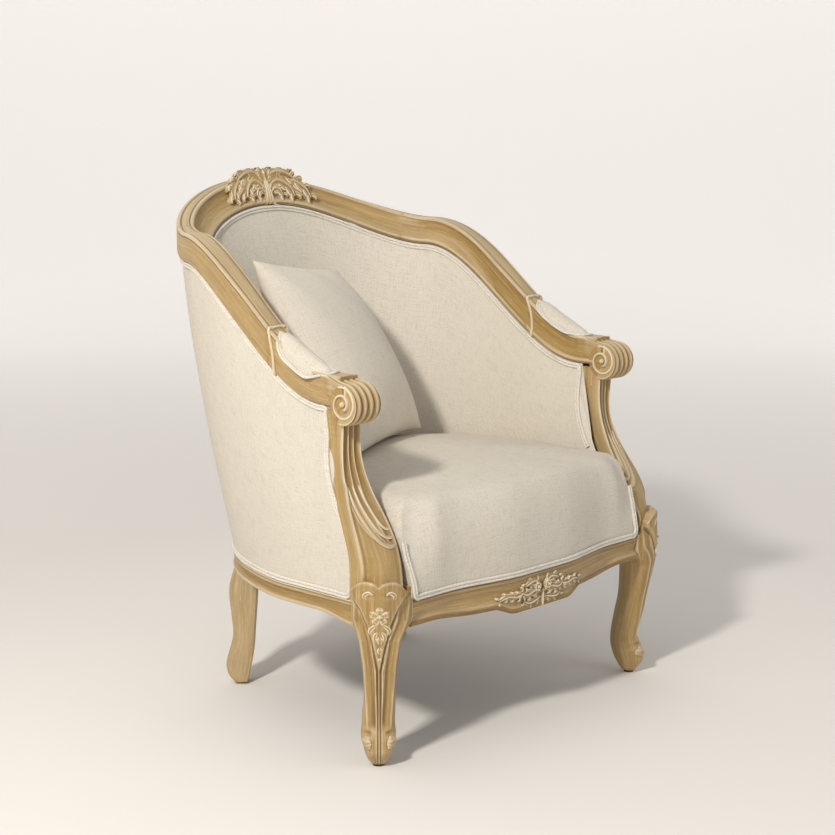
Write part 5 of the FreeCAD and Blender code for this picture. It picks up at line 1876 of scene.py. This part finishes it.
@dataclass
class ThrowPillow:
    """Plump knife-edge pillow leaning in the corner."""
    half: float = 186.0
    thick: float = 62.0
    centre: tuple[float, float, float] = (-46.0, 62.0, 597.0)
    turn: float = 25.0
    lean: float = 26.0
    drawn_in: float = 0.055

    def face(self, s: float, t: float, side: int) -> tuple[float, float, float]:
        """Point of one face in the pillow's own frame.

        Args:
            s: place from its left edge, -1, to its right one, 1.
            t: place from its lower edge, -1, to its upper one, 1.
            side: -1 for the front face, 1 for the back one.
        Returns:
            The point.
        """
        corners = {(-1, -1): (-1.0, -1.0), (1, -1): (1.0, -1.04),
                   (-1, 1): (-1.05, 0.97), (1, 1): (0.68, 0.72)}
        x = z = 0.0
        for (i, j), (cx, cz) in corners.items():
            weight = (1 + i * s) * (1 + j * t) / 4
            x += weight * cx
            z += weight * cz
        # the filling draws the sides in
        x *= 1 - self.drawn_in * (1 - t * t)
        z *= 1 - self.drawn_in * (1 - s * s)
        plump = (max(0.0, 1 - abs(s) ** 2.2) * max(0.0, 1 - abs(t) ** 2.2)) ** 0.5
        gather = 1.6 * math.sin(9 * s + 4 * t) * (1 - plump) * plump * 3
        depth = self.thick * plump * (1 - 0.10 * t) + gather + 1.2
        crease = 3.0 * float(bell(s - 0.62 + 0.4 * (t + 0.6), 0, 0.03) * bell(t, -0.62, 0.2))
        return (x * self.half, side * (depth - crease), z * self.half)

    def build(self, shop: Workshop) -> None:
        """Make the pillow: two faces joined by a narrow seam.

        Args:
            shop: makes the pieces.
        """
        grid = np.linspace(-1, 1, 70)
        grid = np.sign(grid) * (1 - (1 - np.abs(grid)) ** 1.35)
        move = (Matrix.Translation(self.centre)
                @ Matrix.Rotation(math.radians(self.turn), 4, "Z")
                @ Matrix.Rotation(math.radians(-self.lean), 4, "X"))
        patch = Patch()
        for side in (-1, 1):
            cells = [[tuple(move @ Vector(self.face(float(s), float(t), side))) for s in grid]
                     for t in grid]
            patch.add(lattice(np.array(cells), wrap=False, caps=False))
        count = len(grid)
        rim = [(0, c) for c in range(count)] + [(r, count - 1) for r in range(1, count)]
        rim += [(count - 1, c) for c in range(count - 2, -1, -1)]
        rim += [(r, 0) for r in range(count - 2, 0, -1)]
        index = [r * count + c for r, c in rim]
        far = count * count
        for a, b in zip(index, index[1:] + index[:1]):
            patch.faces.append([a, b, b + far, a + far])
            patch.places.append([(0, 0), (0.005, 0), (0.005, 0.003), (0, 0.003)])
        shop.piece("throw_pillow_linen", patch, PILLOW, ["throw_pillow"], Body.PILLOW, 70)


@dataclass
class Construction:
    """Construction parts that show as they are, with their own finishes."""
    nodes: dict = field(default_factory=lambda: {
        "right_back_stile": Slot.BEECH, "left_back_stile": Slot.BEECH, "foot_glides": Slot.GLIDE,
        "corner_blocks": Slot.BEECH, "corner_screws": Slot.STEEL, "frame_dowels": Slot.BEECH,
        "seat_webbing": Slot.WEBBING, "deck_cloth": Slot.DECK, "dust_cover": Slot.DUST})

    def build(self, shop: Workshop) -> None:
        """Give each node its finish.

        Args:
            shop: makes the pieces.
        """
        for node, slot in self.nodes.items():
            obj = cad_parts[node]
            obj.data.materials.clear()
            obj.data.materials.append(shop.material(HIDDEN[slot]))
            log.info("%s: finish %s", node, slot.value)


@dataclass
class Studio:
    """Pale floor and wall, soft lamps and the camera at the photograph's place."""
    eye: tuple[float, float, float] = (-2.2218, -2.1671, 1.0152)
    target: tuple[float, float, float] = (0.083, 0.0093, 0.461)
    lens: float = 77.6
    reach: float = 40.0
    turn_start: float = 4.5
    turn_radius: float = 1.8
    wall_height: float = 12.0
    bearing: float = 46.0
    frame_pixels: int = 835

    def backdrop(self) -> None:
        """Floor that turns up into a wall behind the chair."""
        start, radius = self.turn_start, self.turn_radius
        profile = [(-self.reach, 0.0), (-4.0, 0.0), (start, 0.0)]
        profile += [(start + radius * math.sin(t), radius - radius * math.cos(t))
                    for t in np.linspace(0.1, math.pi / 2, 12)]
        profile.append((start + radius, self.wall_height))
        away = math.radians(self.bearing)
        axis = np.array([math.sin(away), math.cos(away)])
        side = np.array([axis[1], -axis[0]])
        points, faces = [], []
        for d, z in profile:
            for w in (-self.reach, self.reach):
                place = axis * d + side * w
                points.append((place[0], place[1], z))
        for i in range(len(profile) - 1):
            faces.append((2 * i, 2 * i + 1, 2 * i + 3, 2 * i + 2))
        mesh = bpy.data.meshes.new("studio_floor")
        mesh.from_pydata(points, [], faces)
        mesh.shade_smooth()
        material = bpy.data.materials.new("studio_paper")
        material.use_nodes = True
        shader = material.node_tree.nodes["Principled BSDF"]
        shader.inputs["Base Color"].default_value = linear("#e9e5df")
        shader.inputs["Roughness"].default_value = 0.9
        # the lamps are near the chair, so the paper far from it gives a little light of its own
        tree = material.node_tree
        coords = add_node(tree, "ShaderNodeTexCoord").outputs["Object"]
        far = add_node(tree, "ShaderNodeVectorMath", {0: coords},
                       operation="LENGTH").outputs["Value"]
        glow = add_node(tree, "ShaderNodeMapRange", {
            "Value": far, "From Min": 1.2, "From Max": 5.5, "To Min": 0.0, "To Max": 0.42})
        shader.inputs["Emission Color"].default_value = linear("#f4f1ee")
        tree.links.new(glow.outputs["Result"], shader.inputs["Emission Strength"])
        mesh.materials.append(material)
        floor = bpy.data.objects.new("studio_floor", mesh)
        bpy.context.scene.collection.objects.link(floor)

    def aim(self, obj: bpy.types.Object, place: Sequence[float], target: Sequence[float]) -> None:
        """Put a lamp or a camera at a place and point it at a target.

        Args:
            obj: the lamp or camera.
            place: where it stands.
            target: what it points at.
        """
        obj.location = place
        obj.rotation_euler = (Vector(target) - Vector(place)).to_track_quat("-Z", "Y").to_euler()
        bpy.context.scene.collection.objects.link(obj)

    def lamp(self, name: str, place: Sequence[float], size: float, power: float,
             colour: str) -> None:
        """Square area lamp aimed at the chair.

        Args:
            name: the lamp's name.
            place: where it stands.
            size: its side, in metres.
            power: its power, in watts.
            colour: its colour.
        """
        data = bpy.data.lights.new(name, "AREA")
        data.size = size
        data.energy = power
        data.color = linear(colour)[:3]
        self.aim(bpy.data.objects.new(name, data), place, (0, 0, 0.45))

    def build(self) -> None:
        """Make the stage."""
        self.backdrop()
        self.lamp("key_lamp", (-3.2, -1.05, 2.75), 0.36, 124, "#fffaf3")
        self.lamp("fill_lamp", (1.2, -3.6, 1.6), 2.6, 20, "#f6f8ff")
        self.lamp("wall_lamp", (-1.2, 0.3, 3.6), 2.2, 14, "#ffffff")
        world = bpy.data.worlds.new("studio_air")
        bpy.context.scene.world = world
        world.use_nodes = True
        tree = world.node_tree
        tree.nodes["Background"].inputs["Color"].default_value = linear("#f2f2f4")
        # the air lights the chair softly, and is as pale as the wall where the camera sees it
        seen = add_node(tree, "ShaderNodeLightPath").outputs["Is Camera Ray"]
        strength = add_node(tree, "ShaderNodeMapRange", {
            "Value": seen, "To Min": 0.38, "To Max": 0.8})
        tree.links.new(strength.outputs["Result"], tree.nodes["Background"].inputs["Strength"])
        data = bpy.data.cameras.new("camera")
        data.lens = self.lens
        data.sensor_width = 36
        data.clip_end = 50
        camera = bpy.data.objects.new("camera", data)
        self.aim(camera, self.eye, self.target)
        scene = bpy.context.scene
        scene.camera = camera
        scene.render.resolution_x = scene.render.resolution_y = self.frame_pixels
        scene.view_settings.view_transform = "Standard"


def main() -> None:
    """Build the chair in order."""
    logging.basicConfig(level=logging.INFO, format="%(name)s %(message)s")
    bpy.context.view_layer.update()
    plan, post, shop = TubPlan(), Post(), Workshop()
    rails = SeatRails(plan)
    for part in (TopRail(plan), ArmPost(post), FrontLeg(), RearLeg(), rails, Covers(plan, post),
                 Seat(plan, rails), ArmPad(plan), ThrowPillow(), Construction()):
        log.info("building %s", type(part).__name__)
        part.build(shop)
    Studio().build()


if __name__ == "__main__":
    main()
